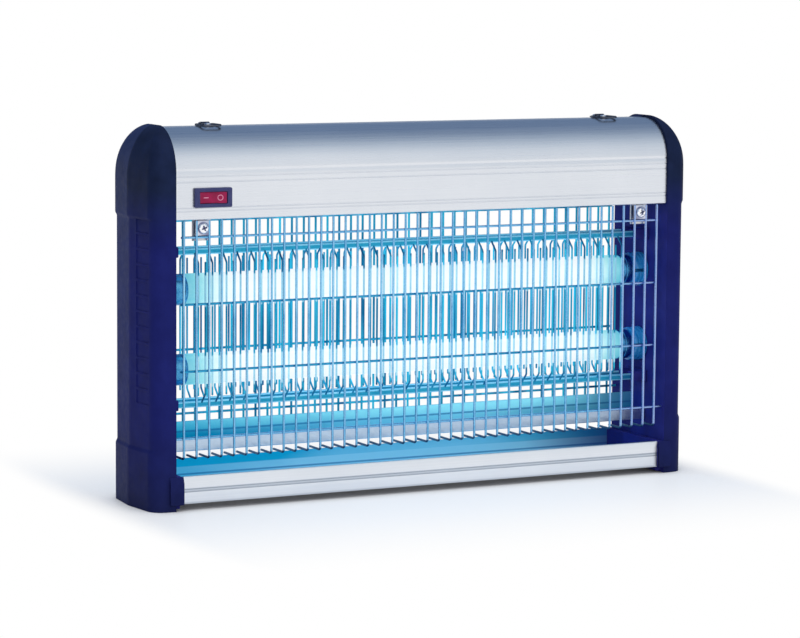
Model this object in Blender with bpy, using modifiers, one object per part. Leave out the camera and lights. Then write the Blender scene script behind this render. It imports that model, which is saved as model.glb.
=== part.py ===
"""Electric bug zapper: two glowing lamps and a live wire grid behind safety grilles, over a sliding tray.

Metres, +Z up, front at -Y. The origin is on the floor, under the middle of the object.
"""

import math

import bmesh
import bpy
from mathutils import Matrix, Vector

MM = 0.001

# Fits
GAP = 0.3 * MM
HOLE_CLEARANCE = 0.3 * MM
PASS = 2 * MM
SMOOTH_ANGLE = 40

# Lamps and lampholders
LAMP_LENGTH = 437.4 * MM
LAMP_RADIUS = 13 * MM
GLASS_THICKNESS = 0.8 * MM
LAMP_SPACING = 66.5 * MM
BASE_LENGTH = 9 * MM
PIN_RADIUS = 1.15 * MM
PIN_SPREAD = 6.35 * MM
PIN_LENGTH = 7 * MM
HOLDER_DEPTH = 12.7 * MM
HOLDER_RADIUS = 15 * MM
HOLDER_BACK = 3.5 * MM
ROTOR_RADIUS = 9 * MM

# End caps
CAP_THICKNESS = 24 * MM
CAP_STRAIGHT = 8 * MM
CAP_CORNER = 13 * MM
CAP_CORNER_STEPS = 5
RIDGE_RISE = 3 * MM
RIDGE_WIDTH = 3 * MM
DEPTH = 90 * MM
ARCH_FLAT = 7.6 * MM
ARCH_STEPS = 9
HEAD_STEPS = 8
HEAD_END = 83
HEAD_TAPER = 1.15
CAP_WALL = 2.5 * MM
WAIST_BOTTOM = 47 * MM
WAIST_SLOPE = 4 * MM
WAIST_OVERLAP = 2.6 * MM
WAIST_DEPTH = 1.6 * MM
LADDER_RISE = 39 * MM
LADDER_PITCH = 12.7 * MM
LADDER_RUNG = 2 * MM
LADDER_COUNT = 12
LADDER_OFFSET = 22.5 * MM
LADDER_WIDTH = 21 * MM
LADDER_DEPTH = 0.6 * MM
DUCT_TAPER = 14 * MM
DUCT_WIDTH = 38 * MM
DUCT_HEIGHT = 36 * MM
RUNNER_WIDTH = 5 * MM
RUNNER_HEIGHT = 3.5 * MM

# Top cover and chassis plate
COVER_INSET = 2.4 * MM
COVER_WALL = 1.5 * MM
COVER_SIDE = 38.2 * MM
COVER_LIP = 2.6 * MM
COVER_LIP_THICKNESS = 1.2 * MM
GROOVE_WIDTH = 1 * MM
GROOVE_DEPTH = 0.5 * MM
GROOVE_RISE = 7 * MM
GROOVE_SPACING = 2.6 * MM
TOP_GROOVE_DROP = 8.2 * MM
PLATE_THICKNESS = 1.2 * MM

# Safety grilles
WIRE_RADIUS = 1 * MM
GRILLE_INSET = 4.5 * MM
GRILLE_PITCH = 11.18 * MM
GRILLE_MARGIN = 8 * MM
GRILLE_TOP_GAP = 0.6 * MM
PIVOT_RISE = 15 * MM
PIVOT_REACH = 6 * MM
CROSS_GAPS = 3
REAR_PIVOT_LIFT = 8.5 * MM
REAR_TOP_LIFT = 6.5 * MM
CROSS_OVERHANG = 2 * MM
WELD_OFFSET = 1.2 * MM
TAIL_DROP = 16.5 * MM
TAIL_LENGTH = 20 * MM
TAB_HEIGHT = 13.8 * MM
TAB_THICKNESS = 1.2 * MM
TAB_EDGE = 1.2 * MM
TAB_LIFT = 1.4 * MM
LUG_WIDTH = 16 * MM
LUG_THICKNESS = 1.2 * MM
LUG_SETBACK = 3 * MM
LUG_DROP = 3 * MM
SCREW_RADIUS = 1.9 * MM
SCREW_HEAD_RADIUS = 4.4 * MM
SCREW_HEAD_HEIGHT = 2.4 * MM
SCREW_LENGTH = 8 * MM

# Killing grid
RAIL_OFFSET = 10 * MM
RAIL_WIDTH = 4 * MM
RAIL_HEIGHT = 5 * MM
UPPER_RAIL_RISE = 32 * MM
HEAD_ROOM = 28.9 * MM
LOWER_RAIL_DROP = 28 * MM
RAIL_CLEARANCE = 17 * MM
GRID_PLANE = 19 * MM
GRID_PITCH = 12.6 * MM
GRID_MARGIN = 15 * MM
GRID_WIRE_RADIUS = 0.8 * MM
GRID_BEND = 9 * MM
GRID_FREE_END = 8 * MM
INSULATOR_LENGTH = 15 * MM
INSULATOR_WALL = 1.6 * MM
INSULATOR_PLATE = 2.4 * MM
INSULATOR_MARGIN = 1 * MM
RAIL_SEAT = 4 * MM

# Guide strips above the tray
STRIP_OFFSET = 12.5 * MM
STRIP_THICKNESS = 2 * MM
STRIP_RISE = 15.1 * MM
FRONT_STRIP_HEIGHT = 11.5 * MM
REAR_STRIP_HEIGHT = 21.5 * MM

# Collection tray
TRAY_BOTTOM = 5.4 * MM
TRAY_HEIGHT = 23 * MM
TRAY_SETBACK = 1.1 * MM
TRAY_WALL = 1.6 * MM
TRAY_FRONT_WALL = 2.6 * MM
TRAY_GROOVE_WIDTH = 1.6 * MM
TRAY_GROOVE_DEPTH = 0.9 * MM
TRAY_END_THICKNESS = 5.4 * MM
HANDLE_PROUD = 2.5 * MM
HANDLE_OVERLAP = 6 * MM
HANDLE_SLOPE = 5 * MM

# Rocker switch
SWITCH_MARGIN = 16.2 * MM
SWITCH_RISE = 17.8 * MM
BEZEL_WIDTH = 33 * MM
BEZEL_HEIGHT = 16 * MM
BEZEL_PROUD = 2.7 * MM
SWITCH_BODY_WIDTH = 29 * MM
SWITCH_BODY_HEIGHT = 12.4 * MM
SWITCH_BODY_DEPTH = 17 * MM
ROCKER_WIDTH = 22.6 * MM
ROCKER_HEIGHT = 9 * MM
ROCKER_PIVOT_DEPTH = 3.4 * MM
ROCKER_RISE = 3.4 * MM
ROCKER_DISH = 1.4 * MM
ROCKER_KEEL = 3.2 * MM
ROCKER_SHOULDER = 1 * MM
ROCKER_END_GAP = 0.8 * MM
ROCKER_FLOOR_GAP = 0.8 * MM
ROCKER_TILT = 8

# Electrics on the chassis plate
BALLAST_CORE = Vector((90, 40, 16)) * MM
BALLAST_COIL = Vector((60, 30, 24)) * MM
BALLAST_XS = (-30 * MM, 90 * MM)
TRANSFORMER_CORE = Vector((34, 40, 30)) * MM
TRANSFORMER_COIL = Vector((44, 26, 24)) * MM
TRANSFORMER_X = 180 * MM
STARTER_RADIUS = 10.75 * MM
STARTER_HEIGHT = 36 * MM
STARTER_SOCKET = Vector((27, 27, 8)) * MM
STARTER_XS = (-140 * MM, -108 * MM)
TERMINAL_BLOCK = Vector((46, 17, 14)) * MM
TERMINAL_STEP = 4 * MM
TERMINAL_XY = Vector((-185, 12)) * MM
GLAND_X = -160 * MM
GLAND_RISE = 18.6 * MM
GLAND_BORE = 3.6 * MM
GLAND_NECK = 6 * MM
GLAND_FLANGE = 9 * MM
GLAND_INSIDE = 6 * MM

# Hanger fittings on the crown of the cover
HANGER_INSET = 44 * MM
RING_WIRE = 1 * MM
RING_WIDTH = 16 * MM
RING_LENGTH = 17 * MM
RING_CORNER = 4 * MM
STRAP_WIDTH = 8 * MM
STRAP_THICKNESS = 1 * MM
STRAP_FOOT = 10 * MM
STRAP_SCREW_OFFSET = 6.6 * MM
STRAP_SCREW_RADIUS = 1.4 * MM
STRAP_SCREW_HEAD = 2.7 * MM
STRAP_SCREW_HEAD_HEIGHT = 1.4 * MM
STRAP_SCREW_LENGTH = 7 * MM

# Places that follow from the sizes above
INNER_HALF = LAMP_LENGTH / 2 + HOLDER_DEPTH + 2 * GAP
PIECE_HALF = INNER_HALF - GAP
OUTER_HALF = INNER_HALF + CAP_THICKNESS
FACET_EDGE = OUTER_HALF - RIDGE_RISE
CAP_HALF_DEPTH = DEPTH / 2
COVER_RADIUS = CAP_HALF_DEPTH - COVER_INSET
COVER_INNER = COVER_RADIUS - COVER_WALL
TRAY_TOP = TRAY_BOTTOM + TRAY_HEIGHT
STRIP_BOTTOM = TRAY_TOP + STRIP_RISE
PIVOT_HEIGHT = STRIP_BOTTOM + PIVOT_RISE
LOWER_RAIL_HEIGHT = STRIP_BOTTOM + REAR_STRIP_HEIGHT + RAIL_CLEARANCE
LOWER_LAMP_HEIGHT = LOWER_RAIL_HEIGHT + LOWER_RAIL_DROP
UPPER_LAMP_HEIGHT = LOWER_LAMP_HEIGHT + LAMP_SPACING
UPPER_RAIL_HEIGHT = UPPER_LAMP_HEIGHT + UPPER_RAIL_RISE
COVER_BOTTOM = UPPER_RAIL_HEIGHT + HEAD_ROOM
ARCH_HEIGHT = COVER_BOTTOM + COVER_SIDE
CROWN = ARCH_HEIGHT + COVER_RADIUS - ARCH_FLAT
GROOVE_HEIGHTS = (GROOVE_RISE, GROOVE_RISE + GROOVE_SPACING, COVER_SIDE - TOP_GROOVE_DROP)
WAIST_TOP = COVER_BOTTOM + WAIST_OVERLAP
LADDER_BOTTOM = WAIST_BOTTOM + LADDER_RISE
PLATE_BOTTOM = COVER_BOTTOM + COVER_LIP_THICKNESS + GAP
PLATE_TOP = PLATE_BOTTOM + PLATE_THICKNESS
PLATE_HALF_DEPTH = COVER_INNER - GAP
GRILLE_PLANE = CAP_HALF_DEPTH - GRILLE_INSET
GRILLE_TOP = COVER_BOTTOM - GRILLE_TOP_GAP
TOP_WIRE_HEIGHT = GRILLE_TOP - TAB_HEIGHT
TAB_FRONT = -GRILLE_PLANE - TAB_THICKNESS / 2
TAB_BOTTOM = TOP_WIRE_HEIGHT + TAB_LIFT
TAB_TOP = GRILLE_TOP - GAP
SCREW_HEIGHT = (TAB_BOTTOM + TAB_TOP) / 2
TRAY_HALF_DEPTH = CAP_HALF_DEPTH - TRAY_SETBACK
REACH = CAP_HALF_DEPTH + HANDLE_PROUD
TRAY_END_FACE = INNER_HALF - 2 * GAP
TRAY_HALF = TRAY_END_FACE - TRAY_END_THICKNESS - GAP
LAMP_FACE = LAMP_LENGTH / 2
HOLDER_FACE = PIECE_HALF - HOLDER_DEPTH
SWITCH_X = -INNER_HALF + SWITCH_MARGIN + BEZEL_WIDTH / 2
SWITCH_HEIGHT = COVER_BOTTOM + SWITCH_RISE
BEZEL_FRONT = -COVER_RADIUS - GAP - BEZEL_PROUD
ROCKER_PIVOT_Y = BEZEL_FRONT + ROCKER_PIVOT_DEPTH
GLAND_HEIGHT = COVER_BOTTOM + GLAND_RISE
HANGER_X = INNER_HALF - HANGER_INSET
RING_HEIGHT = CROWN + GAP + RING_WIRE
SIDES = ((-1, "left"), (1, "right"))

# Local X, Y, Z of an outline drawn in the YZ plane and extruded along X
ACROSS = Matrix(((0, 0, 1), (1, 0, 0), (0, 1, 0))).to_4x4()
UP = Vector((0, 0, 1))


def clear_scene():
    for item in list(bpy.data.objects):
        bpy.data.objects.remove(item, do_unlink=True)


def new_collection(name):
    collection = bpy.data.collections.new(name)
    bpy.context.scene.collection.children.link(collection)
    return collection


clear_scene()
PARTS = new_collection("electric_bug_zapper")
CUTTERS = new_collection("cutters")


def make_material(name, colour, roughness, metallic=0.0, glow=0.0):
    material = bpy.data.materials.new(name)
    material.use_nodes = True
    shader = material.node_tree.nodes["Principled BSDF"]
    shader.inputs["Base Color"].default_value = (*colour, 1)
    shader.inputs["Roughness"].default_value = roughness
    shader.inputs["Metallic"].default_value = metallic
    shader.inputs["Emission Color"].default_value = (*colour, 1)
    shader.inputs["Emission Strength"].default_value = glow
    material.diffuse_color = (*colour, 1)
    return material


NAVY = make_material("navy_plastic", (0.020, 0.022, 0.085), 0.42)
ALUMINIUM = make_material("brushed_aluminium", (0.78, 0.80, 0.83), 0.32, 1.0)
ZINC = make_material("zinc_wire", (0.66, 0.70, 0.80), 0.30, 1.0)
STEEL = make_material("plated_steel", (0.60, 0.61, 0.64), 0.35, 1.0)
CHROME = make_material("bright_screw", (0.82, 0.83, 0.85), 0.18, 1.0)
GLOW = make_material("lamp_glass", (0.62, 0.95, 1.0), 0.15, 0.0, 2.0)
HOLDER = make_material("holder_plastic", (0.16, 0.36, 0.75), 0.35)
BLACK = make_material("black_plastic", (0.012, 0.012, 0.030), 0.38)
RED = make_material("red_rocker", (0.70, 0.010, 0.045), 0.22, 0.0, 0.4)
IRON = make_material("lacquered_iron", (0.10, 0.10, 0.11), 0.5, 0.6)
WHITE = make_material("white_plastic", (0.80, 0.80, 0.78), 0.45)


def add_object(name, mesh, material=None, location=(0, 0, 0)):
    """A part where it has a material, and otherwise a hidden cutter."""
    item = bpy.data.objects.new(name, mesh)
    item.location = location
    if material is None:
        CUTTERS.objects.link(item)
        item.hide_render = True
        item.display_type = "WIRE"
    else:
        PARTS.objects.link(item)
        mesh.materials.append(material)
    return item


def shade(mesh):
    """Round surfaces look smooth, and real edges stay sharp."""
    mesh.shade_smooth()
    mesh.set_sharp_from_angle(angle=math.radians(SMOOTH_ANGLE))


def add_bmesh(name, shape, material=None, location=(0, 0, 0), smooth=False):
    mesh = bpy.data.meshes.new(name)
    bmesh.ops.recalc_face_normals(shape, faces=shape.faces)
    shape.to_mesh(mesh)
    shape.free()
    if smooth:
        shade(mesh)
    return add_object(name, mesh, material, location)


def add_box(name, low, high, material=None):
    low = Vector(low)
    high = Vector(high)
    shape = bmesh.new()
    bmesh.ops.create_cube(shape, size=1, matrix=Matrix.Diagonal((*(high - low), 1)))
    return add_bmesh(name, shape, material, (low + high) / 2)


def add_sitting_box(name, size, centre, bottom, material=None):
    half = Vector((size.x, size.y, 0)) / 2
    base = Vector((centre[0], centre[1], bottom))
    return add_box(name, base - half, base + half + Vector((0, 0, size.z)), material)


def add_cylinder(name, radius, start, end, material=None, sides=20):
    start = Vector(start)
    end = Vector(end)
    shape = bmesh.new()
    bmesh.ops.create_cone(
        shape,
        cap_ends=True,
        segments=sides,
        radius1=radius,
        radius2=radius,
        depth=(end - start).length,
        matrix=(end - start).to_track_quat("Z", "Y").to_matrix().to_4x4(),
    )
    return add_bmesh(name, shape, material, (start + end) / 2, smooth=True)


def mesh_of_curve(curve, name, placing=Matrix.Identity(4)):
    """The curve's solid as a mesh of its own, with its caps welded on."""
    drawn = bpy.data.objects.new(name, curve)
    drawn.matrix_world = placing
    PARTS.objects.link(drawn)
    bpy.context.view_layer.update()
    seen = drawn.evaluated_get(bpy.context.evaluated_depsgraph_get())
    mesh = bpy.data.meshes.new_from_object(seen)
    shape = bmesh.new()
    shape.from_mesh(mesh)
    bmesh.ops.remove_doubles(shape, verts=shape.verts, dist=1e-6)
    shape.transform(placing)
    bmesh.ops.recalc_face_normals(shape, faces=shape.faces)
    shape.to_mesh(mesh)
    shape.free()
    bpy.data.objects.remove(drawn, do_unlink=True)
    bpy.data.curves.remove(curve)
    mesh.name = name
    shade(mesh)
    return mesh


def add_prism(name, outline, half_length, placing, material=None):
    """A flat outline given thickness to both sides of its plane."""
    curve = bpy.data.curves.new(name, "CURVE")
    curve.dimensions = "2D"
    curve.fill_mode = "BOTH"
    curve.extrude = half_length
    spline = curve.splines.new("POLY")
    spline.points.add(len(outline) - 1)
    for point, (x, y) in zip(spline.points, outline):
        point.co = (x, y, 0, 1)
    spline.use_cyclic_u = True
    return add_object(name, mesh_of_curve(curve, name, placing), material)


def add_wires(name, routes, radius, material=None, closed=False, roundness=0):
    """Wires along straight runs, all in one object."""
    curve = bpy.data.curves.new(name, "CURVE")
    curve.dimensions = "3D"
    curve.bevel_depth = radius
    curve.bevel_resolution = roundness
    curve.use_fill_caps = True
    for route in routes:
        spline = curve.splines.new("POLY")
        spline.points.add(len(route) - 1)
        for point, place in zip(spline.points, route):
            point.co = (*place, 1)
        spline.use_cyclic_u = closed
    return add_object(name, mesh_of_curve(curve, name), material)


def add_turned(name, profile, material, location, axis, sides=16, closed=False):
    """A profile of (radius, distance along axis) pairs, top to bottom, turned round the axis."""
    mesh = bpy.data.meshes.new(name)
    points = [(radius, 0, along) for radius, along in profile]
    edges = [(i, i + 1) for i in range(len(points) - 1)]
    if closed:
        edges.append((len(points) - 1, 0))
    mesh.from_pydata(points, edges, [])
    item = add_object(name, mesh, material, location)
    item.rotation_mode = "QUATERNION"
    item.rotation_quaternion = Vector(axis).to_track_quat("Z", "Y")
    screw = item.modifiers.new("turn", "SCREW")
    screw.steps = sides
    screw.render_steps = sides
    screw.use_merge_vertices = True
    screw.merge_threshold = 0.00001
    return item


def add_loft(name, rings, material=None):
    """A solid through closed rings of equally many points, closed at both ends."""
    shape = bmesh.new()
    loops = [[shape.verts.new(point) for point in ring] for ring in rings]
    count = len(loops[0])
    for near, far in zip(loops, loops[1:]):
        for i in range(count):
            shape.faces.new((near[i], near[i - 1], far[i - 1], far[i]))
    shape.faces.new(loops[0])
    shape.faces.new(loops[-1])
    return add_bmesh(name, shape, material, smooth=material is not None)


def boolean(target, other, operation):
    modifier = target.modifiers.new(other.name, "BOOLEAN")
    modifier.operation = operation
    modifier.solver = "EXACT"
    modifier.object = other


def cut(target, *cutters):
    for cutter in cutters:
        boolean(target, cutter, "DIFFERENCE")


def fuse(target, *others):
    for other in others:
        boolean(target, other, "UNION")


def add_pivot(name, location, children):
    """An empty on a joint's axis that carries the moving pieces."""
    pivot = bpy.data.objects.new(name, None)
    pivot.location = location
    PARTS.objects.link(pivot)
    bpy.context.view_layer.update()
    for child in children:
        child.parent = pivot
        child.matrix_parent_inverse = pivot.matrix_world.inverted()


def arch(half, height, bottom):
    """Outline in (y, z) of an upright shape with round shoulders and a flat top, front foot first."""
    radius = half - ARCH_FLAT
    turns = [math.pi / 2 * i / ARCH_STEPS for i in range(ARCH_STEPS + 1)]
    rear = [(ARCH_FLAT + radius * math.cos(t), height + radius * math.sin(t)) for t in turns]
    front = [(-y, z) for y, z in rear]
    return [(-half, bottom), *front, *reversed(rear), (half, bottom)]


def cap_plan(waist=0.0):
    """The cap's outline from above as (outward, y), with facets that rise to a middle ridge."""
    rise = FACET_EDGE - INNER_HALF - CAP_STRAIGHT - waist
    rear = [(0, CAP_HALF_DEPTH), (CAP_STRAIGHT, CAP_HALF_DEPTH)]
    for step in range(1, CAP_CORNER_STEPS + 1):
        turn = math.pi / 2 * step / CAP_CORNER_STEPS
        drop = CAP_CORNER * (1 - math.cos(turn))
        rear.append((CAP_STRAIGHT + rise * math.sin(turn), CAP_HALF_DEPTH - drop))
    rear.append((CAP_THICKNESS - waist, RIDGE_WIDTH / 2))
    return [(out, -y) for out, y in rear] + rear[::-1]


def cap_level(side, start, plan, z, out_size=1.0, depth_size=1.0):
    """The plan at one height, made smaller outwards and in depth towards the top."""
    return [(side * (start + out * out_size), y * depth_size, z) for out, y in plan]


def cap_head(side, start, plan, half_depth):
    """Levels of a head whose inner face is an arch and whose outside leans in to it."""
    radius = half_depth - ARCH_FLAT
    levels = []
    for step in range(HEAD_STEPS + 1):
        turn = math.radians(HEAD_END * step / HEAD_STEPS)
        rise = half_depth * math.sin(turn) - ARCH_FLAT
        half = half_depth
        if rise > 0:
            half = ARCH_FLAT + math.sqrt(radius**2 - rise**2)
        out_size = math.cos(turn) ** HEAD_TAPER
        levels.append(cap_level(side, start, plan, ARCH_HEIGHT + rise, out_size, half / half_depth))
    return levels


def cap_body(name, side):
    """The outside of an end cap: foot and head stand a little proud of the waist between them."""
    full = cap_plan()
    waist = cap_plan(WAIST_DEPTH)
    heights = [
        (0, full),
        (WAIST_BOTTOM, full),
        (WAIST_BOTTOM + WAIST_SLOPE, waist),
        (WAIST_TOP - WAIST_SLOPE, waist),
        (WAIST_TOP, full),
    ]
    levels = [cap_level(side, INNER_HALF, plan, z) for z, plan in heights]
    levels += cap_head(side, INNER_HALF, full, CAP_HALF_DEPTH)
    return add_loft(name, levels, NAVY)


def duct_cut(name, side):
    """The hollow inside an end cap, closed at the foot and domed like the head."""
    start = INNER_HALF + CAP_WALL
    depth = FACET_EDGE - WAIST_DEPTH - LADDER_DEPTH - CAP_WALL - start
    half = CAP_HALF_DEPTH - CAP_WALL
    rear = [(0, half), (CAP_STRAIGHT - CAP_WALL, half), (depth, CAP_HALF_DEPTH - DUCT_TAPER)]
    plan = [(out, -y) for out, y in rear] + rear[::-1]
    levels = [cap_level(side, start, plan, CAP_WALL)] + cap_head(side, start, plan, half)
    return add_loft(f"{name}_duct_cut", levels)


def ladder_pockets(side, name):
    """Shallow pockets one above another on the front facet, as one cutter of separate boxes."""
    shape = bmesh.new()
    size = Vector((LADDER_DEPTH + PASS, LADDER_WIDTH, LADDER_PITCH - LADDER_RUNG))
    run = CAP_HALF_DEPTH - CAP_CORNER - RIDGE_WIDTH / 2
    slope = math.atan2(RIDGE_RISE, run)
    surface = OUTER_HALF - WAIST_DEPTH - (LADDER_OFFSET - RIDGE_WIDTH / 2) * math.tan(slope)
    middle = surface + size.x / 2 - LADDER_DEPTH
    lean = Matrix.Rotation(-side * slope, 4, "Z")
    for step in range(LADDER_COUNT):
        z = LADDER_BOTTOM + (step + 0.5) * LADDER_PITCH
        place = Matrix.Translation((side * middle, -LADDER_OFFSET, z)) @ lean
        bmesh.ops.create_cube(shape, size=1, matrix=place @ Matrix.Diagonal((*size, 1)))
    return add_bmesh(f"{name}_ladder_cut", shape)


def make_end_cap(side, hand):
    """A hollow plastic end with a ridged outer side, a wiring duct inside and a runner for the tray."""
    name = f"{hand}_end_cap"
    cap = cap_body(name, side)
    duct_near = INNER_HALF + CAP_WALL
    window_x = sorted((side * (INNER_HALF - PASS), side * (duct_near + PASS)))
    window = add_box(
        f"{name}_window_cut",
        (window_x[0], -DUCT_WIDTH / 2, PLATE_TOP + CAP_WALL),
        (window_x[1], DUCT_WIDTH / 2, PLATE_TOP + CAP_WALL + DUCT_HEIGHT),
    )
    cut(cap, ladder_pockets(side, name), duct_cut(name, side), window)

    for face, label in ((-1, "front"), (1, "rear")):
        hole = add_cylinder(
            f"{name}_{label}_pivot_cut",
            WIRE_RADIUS + HOLE_CLEARANCE,
            (side * (INNER_HALF - PASS), face * pivot_plane(), pivot_wire_height(face)),
            (side * (duct_near + PASS), face * pivot_plane(), pivot_wire_height(face)),
            sides=8,
        )
        cut(cap, hole)

    runner_x = sorted((side * (INNER_HALF - RUNNER_WIDTH), side * (INNER_HALF + CAP_WALL / 2)))
    runner_top = TRAY_BOTTOM - GAP
    runner = add_box(
        f"{name}_runner",
        (runner_x[0], -GRILLE_PLANE, runner_top - RUNNER_HEIGHT),
        (runner_x[1], GRILLE_PLANE, runner_top),
    )
    fuse(cap, runner)
    return cap


def cover_wall(edge):
    """One upright wall's outside in (y, z), bottom to top, with its grooves."""
    points = [(edge, COVER_BOTTOM)]
    inward = edge - math.copysign(GROOVE_DEPTH, edge)
    for height in GROOVE_HEIGHTS:
        middle = COVER_BOTTOM + height
        points.append((edge, middle - GROOVE_WIDTH / 2))
        points.append((inward, middle))
        points.append((edge, middle + GROOVE_WIDTH / 2))
    return points


def make_cover():
    """The arched extrusion, open at the bottom between two inward lips."""
    lip_edge = COVER_INNER - COVER_LIP
    lip_top = COVER_BOTTOM + COVER_LIP_THICKNESS
    outside = cover_wall(-COVER_RADIUS) + arch(COVER_RADIUS, ARCH_HEIGHT, 0)[1:-1]
    outside += reversed(cover_wall(COVER_RADIUS))
    inside = [(lip_edge, COVER_BOTTOM), (lip_edge, lip_top)]
    inside += reversed(arch(COVER_INNER, ARCH_HEIGHT, lip_top))
    inside += [(-lip_edge, lip_top), (-lip_edge, COVER_BOTTOM)]
    cover = add_prism("top_cover", outside + inside, PIECE_HALF, ACROSS, ALUMINIUM)

    half_width = SWITCH_BODY_WIDTH / 2 + HOLE_CLEARANCE
    half_height = SWITCH_BODY_HEIGHT / 2 + HOLE_CLEARANCE
    switch_hole = add_box(
        "switch_cut",
        (SWITCH_X - half_width, -COVER_RADIUS - PASS, SWITCH_HEIGHT - half_height),
        (SWITCH_X + half_width, -COVER_INNER + PASS, SWITCH_HEIGHT + half_height),
    )
    gland_hole = add_cylinder(
        "gland_cut",
        GLAND_NECK + HOLE_CLEARANCE,
        (GLAND_X, COVER_INNER - PASS, GLAND_HEIGHT),
        (GLAND_X, COVER_RADIUS + PASS, GLAND_HEIGHT),
        sides=16,
    )
    cut(cover, switch_hole, gland_hole)
    for side, hand in SIDES:
        for face, label in ((-1, "front"), (1, "rear")):
            seat = strap_screw_seat(side, face)
            hole = add_cylinder(
                f"{hand}_{label}_hanger_screw_cut",
                STRAP_SCREW_RADIUS + HOLE_CLEARANCE,
                seat - UP * (COVER_WALL + PASS),
                seat + UP * PASS,
                sides=10,
            )
            cut(cover, hole)
    return cover


def tab_middle():
    """How far the grille's screw tabs are from the middle: between its second and third wires."""
    return grille_xs()[-1] - 1.5 * GRILLE_PITCH


def make_chassis_plate():
    """A sheet on the cover's lips, with a tongue bent down behind each screw tab."""
    plate = add_box(
        "chassis_plate",
        (-PIECE_HALF, -PLATE_HALF_DEPTH, PLATE_BOTTOM),
        (PIECE_HALF, PLATE_HALF_DEPTH, PLATE_TOP),
        STEEL,
    )
    lug_front = -GRILLE_PLANE + LUG_SETBACK
    for side, hand in SIDES:
        middle = side * tab_middle()
        lug = add_box(
            f"{hand}_lug",
            (middle - LUG_WIDTH / 2, lug_front, TOP_WIRE_HEIGHT - LUG_DROP),
            (middle + LUG_WIDTH / 2, lug_front + LUG_THICKNESS, PLATE_BOTTOM + PLATE_THICKNESS / 2),
        )
        hole = add_cylinder(
            f"{hand}_lug_cut",
            SCREW_RADIUS + HOLE_CLEARANCE,
            (middle, lug_front - PASS, SCREW_HEIGHT),
            (middle, lug_front + LUG_THICKNESS + PASS, SCREW_HEIGHT),
            sides=12,
        )
        fuse(plate, lug)
        cut(plate, hole)
    return plate


def grille_xs():
    """Places of the upright wires along X."""
    span = 2 * (INNER_HALF - GRILLE_MARGIN)
    count = math.floor(span / GRILLE_PITCH + 1e-6) + 1
    first = -GRILLE_PITCH * (count - 1) / 2
    return [first + GRILLE_PITCH * i for i in range(count)]


def pivot_plane():
    """Distance from the middle to the welded cross wires, just inside the uprights."""
    return GRILLE_PLANE - WELD_OFFSET


def pivot_wire_height(face):
    """Height of a grille's lowest cross wire; the rear one is higher."""
    return PIVOT_HEIGHT if face < 0 else PIVOT_HEIGHT + REAR_PIVOT_LIFT


def make_grille(face, label, tabbed):
    """Upright wires bent inwards at the foot, welded to a top wire, the long pivot wire and any tabs."""
    name = f"{label}_grille"
    plane = face * GRILLE_PLANE
    pivot_height = pivot_wire_height(face)
    top_height = TOP_WIRE_HEIGHT if tabbed else TOP_WIRE_HEIGHT + REAR_TOP_LIFT
    foot = PIVOT_HEIGHT - TAIL_DROP
    bend = plane - face * WIRE_RADIUS
    tail = plane - face * TAIL_LENGTH
    uprights = [
        [(x, plane, GRILLE_TOP), (x, plane, foot + WIRE_RADIUS), (x, bend, foot), (x, tail, foot)]
        for x in grille_xs()
    ]
    grille = add_wires(name, uprights, WIRE_RADIUS, ZINC)
    weld = face * pivot_plane()
    short = grille_xs()[-1] + CROSS_OVERHANG
    long = INNER_HALF + PIVOT_REACH
    crosses = [
        [(-short, weld, top_height), (short, weld, top_height)],
        [(-long, weld, pivot_height), (long, weld, pivot_height)],
    ]
    welded = add_wires(f"{name}_welded_wires", crosses, WIRE_RADIUS)
    if tabbed:
        add_tabs(welded)
    fuse(grille, welded)

    loose = face * (GRILLE_PLANE - 2 * WIRE_RADIUS - GAP)
    cross_wires = []
    for step, height_name in ((1, "lower"), (2, "upper")):
        z = pivot_height + step * (top_height - pivot_height) / CROSS_GAPS
        route = [(-short, loose, z), (short, loose, z)]
        cross_wires.append(add_wires(f"{name}_{height_name}_cross_wire", [route], WIRE_RADIUS, ZINC))
    return grille, cross_wires


def add_tabs(welded):
    """Square plates with a hole, across the second and third wires from each end."""
    half = GRILLE_PITCH / 2 + TAB_EDGE
    for side, hand in SIDES:
        middle = side * tab_middle()
        tab = add_box(
            f"{hand}_tab",
            (middle - half, TAB_FRONT, TAB_BOTTOM),
            (middle + half, TAB_FRONT + TAB_THICKNESS, TAB_TOP),
        )
        hole = add_cylinder(
            f"{hand}_tab_cut",
            SCREW_RADIUS + HOLE_CLEARANCE,
            (middle, TAB_FRONT - PASS, SCREW_HEIGHT),
            (middle, TAB_FRONT + TAB_THICKNESS + PASS, SCREW_HEIGHT),
            sides=12,
        )
        fuse(welded, tab)
        cut(welded, hole)


def make_grille_screws():
    sizes = (SCREW_HEAD_RADIUS, SCREW_HEAD_HEIGHT, SCREW_RADIUS, SCREW_LENGTH)
    return [
        add_screw(
            f"{hand}_grille_screw",
            (side * tab_middle(), TAB_FRONT - GAP, SCREW_HEIGHT),
            (0, -1, 0),
            sizes,
        )
        for side, hand in SIDES
    ]


def add_screw(name, seat, outward, sizes):
    """A pan-head screw whose head stands on seat and whose shank runs inwards."""
    head_radius, head_height, radius, length = sizes
    profile = [
        (0, head_height),
        (head_radius * 0.7, head_height),
        (head_radius, head_height * 0.4),
        (head_radius, 0),
        (radius, 0),
        (radius, -length),
        (0, -length),
    ]
    return add_turned(name, profile, CHROME, seat, outward, sides=12)


def make_strip(face, label, height):
    inner = face * (STRIP_OFFSET - STRIP_THICKNESS)
    outer = face * STRIP_OFFSET
    return add_box(
        f"{label}_guide_strip",
        (-PIECE_HALF, min(inner, outer), STRIP_BOTTOM),
        (PIECE_HALF, max(inner, outer), STRIP_BOTTOM + height),
        ALUMINIUM,
    )


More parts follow.
